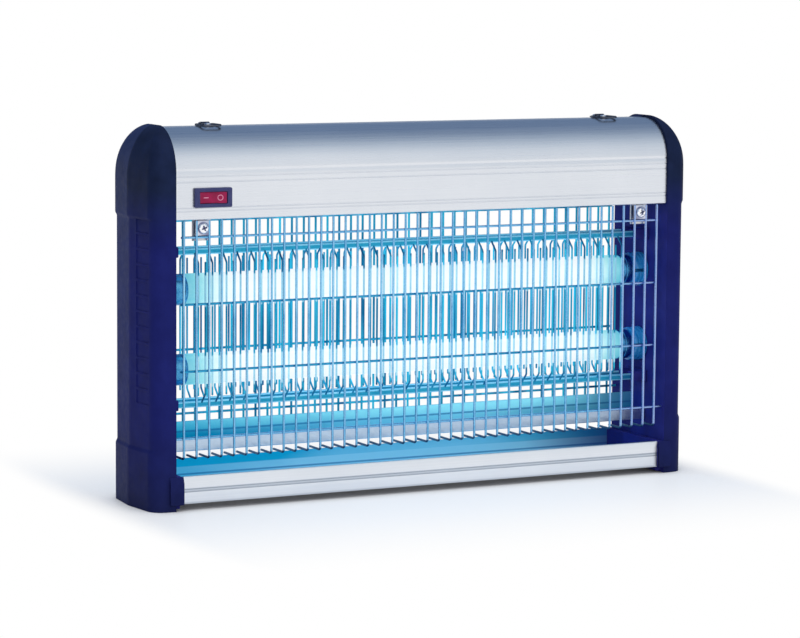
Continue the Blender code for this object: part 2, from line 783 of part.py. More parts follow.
def make_comb(face, label, level, rail_height, shift):
    """A live rail with slanted wires that run past the lamps, every second one of the grid."""
    name = f"{label}_{level}_grid_comb"
    rail_half = PIECE_HALF - INSULATOR_LENGTH + RAIL_SEAT
    rail_y = face * RAIL_OFFSET
    rail = add_box(
        name,
        (-rail_half, rail_y - RAIL_WIDTH / 2, rail_height - RAIL_HEIGHT / 2),
        (rail_half, rail_y + RAIL_WIDTH / 2, rail_height + RAIL_HEIGHT / 2),
        ZINC,
    )
    down = -1 if level == "upper" else 1
    other = LOWER_RAIL_HEIGHT if level == "upper" else UPPER_RAIL_HEIGHT
    bend = rail_height + down * GRID_BEND
    free_end = other - down * GRID_FREE_END
    half = rail_half - RAIL_SEAT - GRID_MARGIN
    pairs = math.floor(half / GRID_PITCH)
    plane = face * GRID_PLANE
    routes = []
    for i in range(-pairs, pairs + 1):
        x = GRID_PITCH * (i + shift)
        if abs(x) <= half:
            routes.append([(x, rail_y, rail_height), (x, plane, bend), (x, plane, free_end)])
    fuse(rail, add_wires(f"{name}_wires", routes, GRID_WIRE_RADIUS))
    return rail


def make_insulator(side, hand, level, rail_height):
    """A plate on the end cap with a hollow post for the end of each rail."""
    name = f"{level}_{hand}_insulator"
    half_width = RAIL_WIDTH / 2 + GAP + INSULATOR_WALL
    half_height = RAIL_HEIGHT / 2 + GAP + INSULATOR_WALL
    plate_half = Vector((INSULATOR_PLATE / 2, RAIL_OFFSET + half_width, half_height))
    plate_half += Vector((0, INSULATOR_MARGIN, INSULATOR_MARGIN))
    middle = Vector((side * (PIECE_HALF - INSULATOR_PLATE / 2), 0, rail_height))
    block = add_box(name, middle - plate_half, middle + plate_half, NAVY)
    mouth = PIECE_HALF - INSULATOR_LENGTH
    post_x = sorted((side * mouth, side * (PIECE_HALF - INSULATOR_PLATE / 2)))
    pocket_x = sorted((side * (mouth - PASS), side * (mouth + RAIL_SEAT + GAP)))
    for face, label in ((-1, "front"), (1, "rear")):
        y = face * RAIL_OFFSET
        post = add_box(
            f"{name}_{label}_post",
            (post_x[0], y - half_width, rail_height - half_height),
            (post_x[1], y + half_width, rail_height + half_height),
        )
        pocket = add_box(
            f"{name}_{label}_cut",
            (pocket_x[0], y - RAIL_WIDTH / 2 - GAP, rail_height - RAIL_HEIGHT / 2 - GAP),
            (pocket_x[1], y + RAIL_WIDTH / 2 + GAP, rail_height + RAIL_HEIGHT / 2 + GAP),
        )
        fuse(block, post)
        cut(block, pocket)
    return block


def make_lamp(level, height):
    """A glass tube, its two pinned bases, and the rotors that hold the pins."""
    glass_half = LAMP_FACE - BASE_LENGTH - GAP
    glass_inner = LAMP_RADIUS - GLASS_THICKNESS
    profile = [
        (glass_inner, glass_half),
        (LAMP_RADIUS, glass_half),
        (LAMP_RADIUS, -glass_half),
        (glass_inner, -glass_half),
    ]
    pieces = [add_turned(f"{level}_lamp", profile, GLOW, (0, 0, height), (1, 0, 0), sides=24, closed=True)]
    for side, hand in SIDES:
        base = add_cylinder(
            f"{level}_lamp_{hand}_base",
            LAMP_RADIUS,
            (side * (LAMP_FACE - BASE_LENGTH), 0, height),
            (side * LAMP_FACE, 0, height),
            ALUMINIUM,
            24,
        )
        rotor_depth = HOLDER_DEPTH - HOLDER_BACK - GAP
        rotor = add_cylinder(
            f"{level}_{hand}_rotor",
            ROTOR_RADIUS,
            (side * HOLDER_FACE, 0, height),
            (side * (HOLDER_FACE + rotor_depth), 0, height),
            WHITE,
            16,
        )
        for up, label in ((-1, "low"), (1, "high")):
            z = height + up * PIN_SPREAD
            pin = add_cylinder(
                f"{level}_{hand}_{label}_pin",
                PIN_RADIUS,
                (side * (LAMP_FACE - BASE_LENGTH / 2), 0, z),
                (side * (LAMP_FACE + PIN_LENGTH), 0, z),
                sides=8,
            )
            hole = add_cylinder(
                f"{level}_{hand}_{label}_pin_cut",
                PIN_RADIUS + HOLE_CLEARANCE,
                (side * (HOLDER_FACE - PASS), 0, z),
                (side * (LAMP_FACE + PIN_LENGTH + GAP), 0, z),
                sides=8,
            )
            fuse(base, pin)
            cut(rotor, hole)
        pieces += [base, rotor]
    add_pivot(f"{level}_lamp_axis", (0, 0, height), pieces)


def make_lampholder(side, hand, level, height):
    """A round holder on the end cap, bored for its rotor, with an entry slot for the pins at the front."""
    name = f"{level}_{hand}_lampholder"
    holder = add_cylinder(
        name,
        HOLDER_RADIUS,
        (side * HOLDER_FACE, 0, height),
        (side * PIECE_HALF, 0, height),
        HOLDER,
        20,
    )
    mouth = side * (HOLDER_FACE - PASS)
    floor = side * (PIECE_HALF - HOLDER_BACK)
    bore = add_cylinder(
        f"{name}_bore_cut",
        ROTOR_RADIUS + HOLE_CLEARANCE,
        (mouth, 0, height),
        (floor, 0, height),
        sides=16,
    )
    slot_half = PIN_RADIUS + HOLE_CLEARANCE
    slot = add_box(
        f"{name}_slot_cut",
        (min(mouth, floor), -HOLDER_RADIUS - PASS, height - slot_half),
        (max(mouth, floor), 0, height + slot_half),
    )
    cut(holder, bore, slot)
    return holder


def make_tray():
    """A shallow channel that slides out to the front, closed at each end by a piece with a handle."""
    outer = TRAY_HALF_DEPTH
    groove = TRAY_BOTTOM + TRAY_HEIGHT / 2
    front = [
        (-outer, TRAY_BOTTOM),
        (-outer, groove - TRAY_GROOVE_WIDTH / 2),
        (-outer + TRAY_GROOVE_DEPTH, groove),
        (-outer, groove + TRAY_GROOVE_WIDTH / 2),
        (-outer, TRAY_TOP),
    ]
    floor = TRAY_BOTTOM + TRAY_WALL
    rear_inner = outer - TRAY_WALL
    front_inner = -outer + TRAY_FRONT_WALL
    inside = [(front_inner, TRAY_TOP), (front_inner, floor), (rear_inner, floor), (rear_inner, TRAY_TOP)]
    outline = front + inside + [(outer, TRAY_TOP), (outer, TRAY_BOTTOM)]
    pieces = [add_prism("collection_tray", outline, TRAY_HALF, ACROSS, ALUMINIUM)]
    for side, hand in SIDES:
        plate_x = sorted((side * (TRAY_HALF + GAP), side * TRAY_END_FACE))
        end = add_box(
            f"{hand}_tray_end",
            (plate_x[0], -outer, TRAY_BOTTOM),
            (plate_x[1], outer, TRAY_TOP),
            NAVY,
        )
        handle_x = (TRAY_HALF + GAP, INNER_HALF + HANDLE_OVERLAP)
        handle_back = -CAP_HALF_DEPTH - GAP
        profile = [
            (-REACH, TRAY_BOTTOM),
            (-REACH, TRAY_TOP - HANDLE_SLOPE),
            (handle_back, TRAY_TOP),
            (handle_back, TRAY_BOTTOM),
        ]
        middle = Matrix.Translation((side * sum(handle_x) / 2, 0, 0))
        half = (handle_x[1] - handle_x[0]) / 2
        handle = add_prism(f"{hand}_tray_handle", profile, half, middle @ ACROSS)
        neck = add_box(
            f"{hand}_tray_neck",
            (plate_x[0], -REACH + HANDLE_PROUD / 2, TRAY_BOTTOM),
            (plate_x[1], -outer + TRAY_WALL, TRAY_TOP - HANDLE_SLOPE),
        )
        fuse(end, handle, neck)
        pieces.append(end)
    add_pivot("tray_slide", (0, -outer, TRAY_BOTTOM), pieces)


def make_switch():
    """A bezel and body through the cover, and the rocker that tilts in it about an upright axis."""
    bezel_back = -COVER_RADIUS - GAP
    housing = add_box(
        "switch_housing",
        (SWITCH_X - BEZEL_WIDTH / 2, BEZEL_FRONT, SWITCH_HEIGHT - BEZEL_HEIGHT / 2),
        (SWITCH_X + BEZEL_WIDTH / 2, bezel_back, SWITCH_HEIGHT + BEZEL_HEIGHT / 2),
        BLACK,
    )
    body_half = Vector((SWITCH_BODY_WIDTH, SWITCH_BODY_DEPTH + BEZEL_PROUD / 2, SWITCH_BODY_HEIGHT)) / 2
    body_middle = Vector((SWITCH_X, bezel_back - BEZEL_PROUD / 2 + body_half.y, SWITCH_HEIGHT))
    body = add_box("switch_body", body_middle - body_half, body_middle + body_half)
    pocket_half = ROCKER_WIDTH / 2 + ROCKER_END_GAP
    pocket_floor = ROCKER_PIVOT_Y + ROCKER_KEEL + ROCKER_FLOOR_GAP
    pocket = add_box(
        "switch_pocket_cut",
        (SWITCH_X - pocket_half, BEZEL_FRONT - PASS, SWITCH_HEIGHT - ROCKER_HEIGHT / 2 - GAP),
        (SWITCH_X + pocket_half, pocket_floor, SWITCH_HEIGHT + ROCKER_HEIGHT / 2 + GAP),
    )
    fuse(housing, body)
    cut(housing, pocket)

    half = ROCKER_WIDTH / 2
    outline = [
        (-half, -ROCKER_RISE),
        (-half, ROCKER_SHOULDER),
        (0, ROCKER_KEEL),
        (half, ROCKER_SHOULDER),
        (half, -ROCKER_RISE),
        (0, -ROCKER_RISE + ROCKER_DISH),
    ]
    rocker = add_prism("switch_rocker", outline, ROCKER_HEIGHT / 2, Matrix.Identity(4), RED)
    rocker.location = (SWITCH_X, ROCKER_PIVOT_Y, SWITCH_HEIGHT)
    rocker.rotation_euler.z = -math.radians(ROCKER_TILT)


def add_wound_core(name, core, coil, centre, material):
    """A laminated core with its winding standing out of it."""
    bottom = PLATE_TOP + GAP
    item = add_sitting_box(name, core, centre, bottom, material)
    fuse(item, add_sitting_box(f"{name}_winding", coil, centre, bottom + PLATE_THICKNESS))
    return item


def make_electrics():
    """Ballasts, starters, transformer and terminal block on the chassis plate, and the cable gland."""
    for number, x in enumerate(BALLAST_XS, 1):
        add_wound_core(f"ballast_{number}", BALLAST_CORE, BALLAST_COIL, (x, 0), IRON)
    add_wound_core("grid_transformer", TRANSFORMER_CORE, TRANSFORMER_COIL, (TRANSFORMER_X, 0), IRON)
    bottom = PLATE_TOP + GAP
    for number, x in enumerate(STARTER_XS, 1):
        add_sitting_box(f"starter_socket_{number}", STARTER_SOCKET, (x, 0), bottom, WHITE)
        start = Vector((x, 0, bottom + STARTER_SOCKET.z + GAP))
        end = start + Vector((0, 0, STARTER_HEIGHT))
        add_cylinder(f"starter_{number}", STARTER_RADIUS, start, end, WHITE, 16)
    block = add_sitting_box("terminal_block", TERMINAL_BLOCK, TERMINAL_XY, bottom, WHITE)
    upper = Vector((TERMINAL_BLOCK.x, TERMINAL_BLOCK.y / 2, TERMINAL_BLOCK.z + TERMINAL_STEP))
    fuse(block, add_sitting_box("terminal_block_ridge", upper, TERMINAL_XY, bottom + TERMINAL_STEP))

    flange_back = COVER_RADIUS + GAP
    inner_end = COVER_INNER - GLAND_INSIDE
    profile = [
        (GLAND_BORE, REACH),
        (GLAND_NECK, REACH),
        (GLAND_FLANGE, (REACH + flange_back) / 2),
        (GLAND_FLANGE, flange_back),
        (GLAND_NECK, flange_back),
        (GLAND_NECK, inner_end),
        (GLAND_BORE, inner_end),
    ]
    add_turned("cable_gland", profile, BLACK, (GLAND_X, 0, GLAND_HEIGHT), (0, 1, 0), closed=True)


def strap_screw_seat(side, face):
    """Where the head of a hanger screw stands on its strap."""
    return Vector((side * HANGER_X, face * STRAP_SCREW_OFFSET, CROWN + 2 * GAP + STRAP_THICKNESS))


def strap_outline():
    """The strap's edge in (y, z): two flat feet and a hump over the ring's bar."""
    bottom = CROWN + GAP
    top = bottom + STRAP_THICKNESS
    inner = RING_WIRE + GAP
    outer = inner + STRAP_THICKNESS

    def over(radius, start):
        turns = [start + (math.pi - 2 * start) * i / 6 for i in range(7)]
        return [(-radius * math.cos(t), RING_HEIGHT + radius * math.sin(t)) for t in turns]

    lower = [(-STRAP_FOOT, bottom), (-inner, bottom), *over(inner, 0), (inner, bottom), (STRAP_FOOT, bottom)]
    upper = [(-STRAP_FOOT, top), *over(outer, math.asin((top - RING_HEIGHT) / outer)), (STRAP_FOOT, top)]
    return lower + upper[::-1]


def make_hanger(side, hand):
    """A strap screwed to the crown that holds a folding ring to hang the object by."""
    x = side * HANGER_X
    strap = add_prism(
        f"{hand}_hanger_strap",
        strap_outline(),
        STRAP_WIDTH / 2,
        Matrix.Translation((x, 0, 0)) @ ACROSS,
        STEEL,
    )
    for face, label in ((-1, "front"), (1, "rear")):
        seat = strap_screw_seat(side, face)
        hole = add_cylinder(
            f"{hand}_{label}_strap_cut",
            STRAP_SCREW_RADIUS + HOLE_CLEARANCE,
            seat - UP * (STRAP_THICKNESS + PASS),
            seat + UP * PASS,
            sides=10,
        )
        cut(strap, hole)
        sizes = (STRAP_SCREW_HEAD, STRAP_SCREW_HEAD_HEIGHT, STRAP_SCREW_RADIUS, STRAP_SCREW_LENGTH)
        add_screw(f"{hand}_hanger_{label}_screw", seat, UP, sizes)

    half = RING_WIDTH / 2
    round_start = RING_LENGTH - RING_CORNER
    corner = [math.radians(angle) for angle in (0, 30, 60, 90)]
    near = RING_CORNER / 4
    centre = half - RING_CORNER
    right = [(centre + RING_CORNER * math.cos(a), round_start + RING_CORNER * math.sin(a)) for a in corner]
    left = [(-px, py) for px, py in reversed(right)]
    loop = [(-half + near, 0), (half - near, 0), (half, near), *right, *left, (-half, near)]
    route = [(px, -py, 0) for px, py in loop]
    ring = add_wires(f"{hand}_hanger_ring", [route], RING_WIRE, STEEL, closed=True, roundness=1)
    ring.location = (x, 0, RING_HEIGHT)


def make_guards():
    front, front_crosses = make_grille(-1, "front", True)
    screws = make_grille_screws()
    add_pivot("front_grille_axis", (0, -pivot_plane(), PIVOT_HEIGHT), [front, *front_crosses, *screws])
    make_grille(1, "rear", False)
    make_strip(-1, "front", FRONT_STRIP_HEIGHT)
    make_strip(1, "rear", REAR_STRIP_HEIGHT)


def make_killing_grid():
    for face, label in ((-1, "front"), (1, "rear")):
        make_comb(face, label, "upper", UPPER_RAIL_HEIGHT, 0)
        make_comb(face, label, "lower", LOWER_RAIL_HEIGHT, 0.5)
    for side, hand in SIDES:
        make_insulator(side, hand, "upper", UPPER_RAIL_HEIGHT)
        make_insulator(side, hand, "lower", LOWER_RAIL_HEIGHT)


def make_lamps():
    for level, height in (("upper", UPPER_LAMP_HEIGHT), ("lower", LOWER_LAMP_HEIGHT)):
        make_lamp(level, height)
        for side, hand in SIDES:
            make_lampholder(side, hand, level, height)


for cap_side, cap_hand in SIDES:
    make_end_cap(cap_side, cap_hand)
    make_hanger(cap_side, cap_hand)
make_cover()
make_chassis_plate()
make_guards()
make_killing_grid()
make_lamps()
make_tray()
make_switch()
make_electrics()
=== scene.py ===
import math

import bmesh
import bpy
from mathutils import Matrix, Vector


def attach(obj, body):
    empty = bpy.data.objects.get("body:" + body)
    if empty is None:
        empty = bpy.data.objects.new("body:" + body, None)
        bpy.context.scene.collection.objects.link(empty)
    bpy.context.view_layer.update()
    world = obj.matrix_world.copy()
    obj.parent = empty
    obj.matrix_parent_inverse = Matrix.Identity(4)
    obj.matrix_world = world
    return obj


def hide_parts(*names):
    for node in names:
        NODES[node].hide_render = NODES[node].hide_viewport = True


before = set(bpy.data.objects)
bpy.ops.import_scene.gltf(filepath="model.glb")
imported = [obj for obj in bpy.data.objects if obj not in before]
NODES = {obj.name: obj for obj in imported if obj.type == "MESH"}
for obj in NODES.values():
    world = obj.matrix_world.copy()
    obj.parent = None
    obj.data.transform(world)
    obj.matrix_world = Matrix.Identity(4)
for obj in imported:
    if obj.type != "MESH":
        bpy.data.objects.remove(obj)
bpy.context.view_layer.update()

# Sizes in millimetres, as in the CAD model
MM = 0.001
SIDES = ((-1, "left"), (1, "right"))
FACES = ((-1, "front"), (1, "rear"))
INNER_HALF = 232.0
PIECE_HALF = 231.7
WIRE_BEND = 3.0

# End caps
CAP_HALF_DEPTH = 45.0
CAP_CORNER = 13.0
CAP_STRAIGHT = 8.0
FACET_RISE, FACET_RUN = 3.0, 30.5
RIDGE_Y = 1.5
WAIST = (47.0, 51.0, 236.0, 240.0)
WAIST_DEPTH = 1.6
HEAD_TURN = math.radians(83)
HEAD_TAPER = 1.15
POCKET_COUNT = 12
POCKET_PITCH = 12.7
POCKET_BOTTOM = 86.0
POCKET_Y = 22.5
POCKET_SIZE = (3.2, 21.0, 10.7)
POCKET_DEPTH = 0.6

# Cover and what sits on it. Grooves are (height, depth), the crown's is (start and end in degrees, depth)
ARCH_HEIGHT = 275.6
ARCH_FLAT = 7.6
COVER_BOTTOM = 237.4
COVER_HALF = 42.6
COVER_SHEET = 1.5
COVER_LIP = 1.2
COVER_LIP_Y = 38.5
COVER_GROOVES = ((244.4, 0.4), (247.0, 0.5), (267.9, 0.5), (272.4, 0.35))
CROWN_GROOVE = (1.4, 3.1, 0.35)
CROWN = 310.6
SWITCH = Vector((-199.3, -42.2, 255.2))
HANGER_X = 188.0
RING_HEIGHT = 311.9
GLAND = (-160, 0, 256)

# Grilles. Heights are of the top, upper, lower and pivot wire, at the front (-1) and the rear (1)
GRILLE_PLANE = 40.5
GRILLE_TOP = 236.8
GRILLE_FOOT = 42.0
GRILLE_FOOT_END = 20.5
GRILLE_COUNT = 41
GRILLE_PITCH = 11.18
GRILLE_RADIUS = 1.0
CROSS_HEIGHTS = {-1: (223.0, 168.17, 113.33, 58.5), 1: (229.5, 175.33, 121.17, 67.0)}
CROSS_HALF = 225.6
PIVOT_HALF = 238.0
WELDED_Y = 39.3
TIED_Y = 38.2
TAB_X = 206.83
TAB_HALF = 6.7
SCREW_HEIGHT = 230.45

# Lamps, and the killing grid round them
UPPER_LAMP, LOWER_LAMP = 176.5, 110.0
UPPER_RAIL, LOWER_RAIL = 208.5, 82.0
LEVELS = (("upper", UPPER_LAMP, UPPER_RAIL), ("lower", LOWER_LAMP, LOWER_RAIL))
LAMP_MIDDLE, LAMP_SPREAD = (UPPER_LAMP + LOWER_LAMP) / 2, (UPPER_LAMP - LOWER_LAMP) / 2
RAIL_MIDDLE, RAIL_SPREAD = (UPPER_RAIL + LOWER_RAIL) / 2, (UPPER_RAIL - LOWER_RAIL) / 2
PIN_SPREAD = 6.35
RAIL_Y = 10.0
RAIL_HALF = 220.7
COMB_Y = 19.0
COMB_PITCH = 12.6
COMB_HALF = 206.7
COMB_RADIUS = 0.8
COMB_SLANT = 9.0
COMB_STOP = 8.0

# Strips and tray
STRIP_BOTTOM = 43.5
STRIP_Y = (10.5, 12.5)
FRONT_STRIP_TOP, REAR_STRIP_TOP = 55.0, 65.0
TRAY_FLOOR, TRAY_TOP = 5.4, 28.4
TRAY_HALF = 43.9
TRAY_LINES = (15.7, 17.9)

# Camera fitted to the photo, with places in its pixels
PHOTO_WIDTH, PHOTO_HEIGHT = 800, 638
OPTICAL_CENTRE = (406.84, 293.59)
FOCAL_PIXELS = 3155.1
SENSOR = 36
CAMERA_ANGLES = (-27.21, 6.27, 0.44)
CAMERA_TARGET = (0, 0, 0.164)
CAMERA_DISTANCE = 2.6913

# Scale and detail of the mottling on plastics
MOTTLE = (60, 4)

# Outlines drawn in the YZ plane and extruded along X
ACROSS = Matrix(((0, 0, 1), (1, 0, 0), (0, 1, 0))).to_4x4()


# Shapes

def bridge(shape, near, far):
    count = len(near)
    for i in range(count):
        shape.faces.new((near[i], near[i - 1], far[i - 1], far[i]))


def loft(shape, rings):
    """A closed solid through rings of equally many points."""
    loops = [[shape.verts.new(point) for point in ring] for ring in rings]
    for near, far in zip(loops, loops[1:]):
        bridge(shape, near, far)
    shape.faces.new(loops[0])
    shape.faces.new(loops[-1])


def turn(shape, profile, place, sides=48):
    """A profile of (radius, distance along local Z) pairs turned round; both ends closed by a disc."""
    angles = [2 * math.pi * i / sides for i in range(sides)]
    loft(shape, [
        [place @ Vector((radius * math.cos(a), radius * math.sin(a), along)) for a in angles]
        for radius, along in profile
    ])


def along(axis, start=(0, 0, 0)):
    """Placing that takes local Z to an axis."""
    turned = Vector(axis).to_track_quat("Z", "Y").to_matrix().to_4x4()
    return Matrix.Translation(Vector(start)) @ turned


def extrude(shape, outline, half, place):
    """A flat outline in local (x, y), given thickness to both sides along local Z."""
    loft(shape, [[place @ Vector((x, y, z)) for x, y in outline] for z in (-half, half)])


def box(shape, low, high, radius=0.0, segments=3):
    """A box with rounded edges."""
    low = Vector(low)
    high = Vector(high)
    place = Matrix.Translation((low + high) / 2) @ Matrix.Diagonal((*(high - low), 1))
    made = bmesh.ops.create_cube(shape, size=1, matrix=place)["verts"]
    if radius:
        edges = list({edge for vert in made for edge in vert.link_edges})
        bmesh.ops.bevel(
            shape, geom=edges, offset=radius, offset_type="OFFSET", segments=segments, profile=0.5,
            affect="EDGES",
        )


def fillet(path, radius, steps=6, closed=False):
    """The path with its corners rounded."""
    points = [Vector(point) for point in path]
    count = len(points)
    rounded = []
    for i, corner in enumerate(points):
        if not closed and i in (0, count - 1):
            rounded.append(corner)
            continue
        before = points[i - 1] - corner
        after = points[(i + 1) % count] - corner
        opening = before.angle(after)
        cut = min(radius / math.tan(opening / 2), before.length * 0.49, after.length * 0.49)
        start = corner + before.normalized() * cut
        end = corner + after.normalized() * cut
        for step in range(steps + 1):
            t = step / steps
            rounded.append((1 - t) ** 2 * start + 2 * t * (1 - t) * corner + t ** 2 * end)
    return rounded


def wire(shape, path, radius, sides=10, closed=False):
    """A round wire along a path, with softly rounded ends."""
    setback, tip = radius * 0.4, radius * 0.66
    points = [Vector(point) for point in path]
    count = len(points)
    spans = []
    for i, point in enumerate(points):
        before = points[i - 1] if closed or i else point
        after = points[(i + 1) % count] if closed or i < count - 1 else point
        spans.append((after - before).normalized())
    normal = spans[0].orthogonal().normalized()
    previous = spans[0]
    stations = []
    for point, span in zip(points, spans):
        normal = previous.rotation_difference(span) @ normal
        previous = span
        stations.append((point, span, normal, radius))
    if not closed:
        point, span, first, _ = stations[0]
        stations[0] = (point + span * setback, span, first, radius)
        stations.insert(0, (point, span, first, tip))
        point, span, last, _ = stations[-1]
        stations[-1] = (point - span * setback, span, last, radius)
        stations.append((point, span, last, tip))
    loops = []
    for point, span, side, size in stations:
        other = span.cross(side)
        ring = []
        for i in range(sides):
            a = 2 * math.pi * i / sides
            ring.append(shape.verts.new(point + (side * math.cos(a) + other * math.sin(a)) * size))
        loops.append(ring)
    for near, far in zip(loops, loops[1:]):
        bridge(shape, near, far)
    if closed:
        bridge(shape, loops[-1], loops[0])
    else:
        shape.faces.new(loops[0])
        shape.faces.new(loops[-1])


def solid(name, shape):
    """The shape as a mesh; the shape itself is used up."""
    mesh = bpy.data.meshes.new(name)
    shape.to_mesh(mesh)
    shape.free()
    return mesh


def add(name, data):
    """An object in the scene."""
    item = bpy.data.objects.new(name, data)
    bpy.context.scene.collection.objects.link(item)
    return item


def loose(shape):
    """A temporary object for a Boolean."""
    bmesh.ops.recalc_face_normals(shape, faces=shape.faces)
    return add("loose", solid("loose", shape))


def carve(shape, *cutters):
    """The shape with the cutters taken out of it."""
    target = loose(shape)
    others = [loose(cutter) for cutter in cutters]
    for other in others:
        modifier = target.modifiers.new("cut", "BOOLEAN")
        modifier.operation = "DIFFERENCE"
        modifier.solver = "EXACT"
        modifier.object = other
    bpy.context.view_layer.update()
    mesh = bpy.data.meshes.new_from_object(target.evaluated_get(bpy.context.evaluated_depsgraph_get()))
    result = bmesh.new()
    result.from_mesh(mesh)
    bpy.data.meshes.remove(mesh)
    for item in (target, *others):
        bpy.data.meshes.remove(item.data)
    return result


def join(shape, other):
    """Adds the other shape to a shape."""
    mesh = solid("other", other)
    shape.from_mesh(mesh)
    bpy.data.meshes.remove(mesh)


def boxes(*corners):
    """Sharp boxes in one shape, for cutting."""
    shape = bmesh.new()
    for low, high in corners:
        box(shape, low, high)
    return shape


def span(side, near, far):
    """Two X places in rising order."""
    return sorted((side * near, side * far))


def groove(outer, inner, middle, mouth, bed):
    """A groove across an upright outline, with the half widths of its mouth and its bed."""
    return [(outer, middle - mouth), (inner, middle - bed), (inner, middle + bed), (outer, middle + mouth)]


# Finishes

def linear(red, green, blue):
    """A colour given as display values from 0 to 255, as the shader takes it."""
    channels = [value / 255 for value in (red, green, blue)]
    return [c / 12.92 if c <= 0.04045 else ((c + 0.055) / 1.055) ** 2.4 for c in channels]


class Graph:
    """Short ways to add nodes to a tree of shader nodes."""

    def __init__(self, tree):
        self.tree = tree

    def feed(self, socket, value):
        """Links an output to a socket, or sets a plain value there."""
        if isinstance(value, bpy.types.NodeSocket):
            self.tree.links.new(value, socket)
        else:
            socket.default_value = value

    def node(self, kind, inputs=None, **settings):
        made = self.tree.nodes.new("ShaderNode" + kind)
        for label, value in settings.items():
            setattr(made, label, value)
        for label, value in (inputs or {}).items():
            self.feed(made.inputs[label], value)
        return made

    def between(self, value, low, high, start=0.0, end=1.0, **settings):
        """The value's range start to end as low to high."""
        made = self.node(
            "MapRange",
            {"Value": value, "From Min": start, "From Max": end, "To Min": low, "To Max": high},
            **settings,
        )
        return made.outputs["Result"]

    def maths(self, operation, first, second=0.0):
        return self.node("Math", {0: first, 1: second}, operation=operation).outputs[0]

    def product(self, first, *others):
        for other in others:
            first = self.maths("MULTIPLY", first, other)
        return first

    def ramp(self, value, *stops):
        made = self.node("ValToRGB", {"Fac": value})
        marks = made.color_ramp.elements
        while len(marks) < len(stops):
            marks.new(0.5)
        for mark, (position, colour) in zip(marks, stops):
            mark.position = position
            mark.color = (*colour, 1)
        return made.outputs["Color"]


class Finish(Graph):
    """A procedural material round one Principled shader. Texture space is the object's own, in metres."""

    def __init__(self, name, **constants):
        self.material = bpy.data.materials.new(name)
        self.material.use_nodes = True
        super().__init__(self.material.node_tree)
        self.shader = self.tree.nodes["Principled BSDF"]
        for label, value in constants.items():
            self.shader.inputs[label.replace("_", " ")].default_value = value
        self.place = self.node("TexCoord").outputs["Object"]

    def noise(self, scale, detail=3.0, roughness=0.55, stretch=(1, 1, 1)):
        spread = self.node("Mapping", {"Vector": self.place, "Scale": stretch})
        made = self.node(
            "TexNoise",
            {"Vector": spread.outputs[0], "Scale": scale, "Detail": detail, "Roughness": roughness},
        )
        return made.outputs["Fac"]

    def axis(self, name):
        return self.node("SeparateXYZ", {"Vector": self.place}).outputs[name]

    def rising(self, axis, start, end, low=0.0, high=1.0):
        """From low to high along an axis, between two places in millimetres."""
        return self.between(self.axis(axis), low, high, start * MM, end * MM)

    def falling(self, axis, start, end, high=1.0):
        """From high to 0 along an axis, between two places in millimetres."""
        return self.rising(axis, start, end, high, 0.0)

    def off(self, place, centre=0.0):
        """How far a place in metres, or a place on a named axis, is from a centre in millimetres."""
        value = self.axis(place) if isinstance(place, str) else place
        return self.maths("ABSOLUTE", self.maths("SUBTRACT", value, centre * MM))

    def outside(self, distance, none, full):
        """From 0 to 1 between two distances in millimetres."""
        return self.between(distance, 0.0, 1.0, none * MM, full * MM)

    def within(self, distance, full, none, high=1.0):
        """From high to 0 between two distances in millimetres."""
        return self.between(distance, high, 0.0, full * MM, none * MM)

    def reach(self, first, second):
        """The length of a way with two parts at right angles."""
        return self.maths("SQRT", self.maths("ADD", self.product(first, first), self.product(second, second)))

    def two_tone(self, value, dark, light, start=0.3, end=0.7):
        return self.ramp(value, (start, dark), (end, light))

    def painted(self, value, dark, light):
        """Two tones given as display values."""
        return self.two_tone(value, linear(*dark), linear(*light))

    def blend(self, factor, first, second, kind="MIX"):
        made = self.node("Mix", {0: factor}, data_type="RGBA", blend_type=kind)
        for socket, value in ((made.inputs[6], first), (made.inputs[7], second)):
            self.feed(socket, (*value, 1) if isinstance(value, tuple) else value)
        return made.outputs[2]

    def tone(self):
        """What the base colour is linked to so far."""
        return self.shader.inputs["Base Color"].links[0].from_socket

    def set(self, label, value):
        self.tree.links.new(value, self.shader.inputs[label])

    def gloss(self, value, roughness, less=0.06, more=0.08):
        """Roughness that varies a little with the value."""
        self.set("Roughness", self.between(value, roughness - less, roughness + more, 0.3, 0.7))

    def bump(self, *layers):
        """Layers of (height, strength, distance in metres), the last one on top."""
        inputs = {}
        for height, strength, distance in layers:
            inputs.update(Height=height, Strength=strength, Distance=distance)
            inputs["Normal"] = self.node("Bump", inputs).outputs["Normal"]
        self.set("Normal", inputs["Normal"])


def moulded(name, tones, roughness, grain=1.0, **constants):
    """Moulded plastic: faint mottling and a fine grain. Its tones are display values, or left open."""
    finish = Finish(name, **constants)
    mottle = finish.noise(*MOTTLE)
    if tones:
        finish.set("Base Color", finish.painted(mottle, *tones))
    finish.gloss(finish.noise(240, 3), roughness)
    finish.bump((mottle, 0.10, 0.0004), (finish.noise(2600, 2), 0.16 * grain, 0.00008))
    return finish


def brushed(name, tones, roughness, depth=1.0):
    """Drawn aluminium: fine streaks along X, with a few deeper lines."""
    finish = Finish(name, Metallic=1.0)
    streaks = finish.noise(900, 4, 0.65, (0.006, 1, 1))
    lines = finish.noise(260, 2, 0.5, (0.012, 1, 1))
    fine = finish.two_tone(streaks, *tones, 0.25, 0.75)
    cloud = finish.two_tone(finish.noise(14, 3), *tones)
    finish.set("Base Color", finish.blend(0.35, fine, cloud))
    finish.gloss(streaks, roughness, 0.07, 0.09)
    finish.bump((lines, 0.05 * depth, 0.0003), (streaks, 0.07 * depth, 0.0001))
    return finish


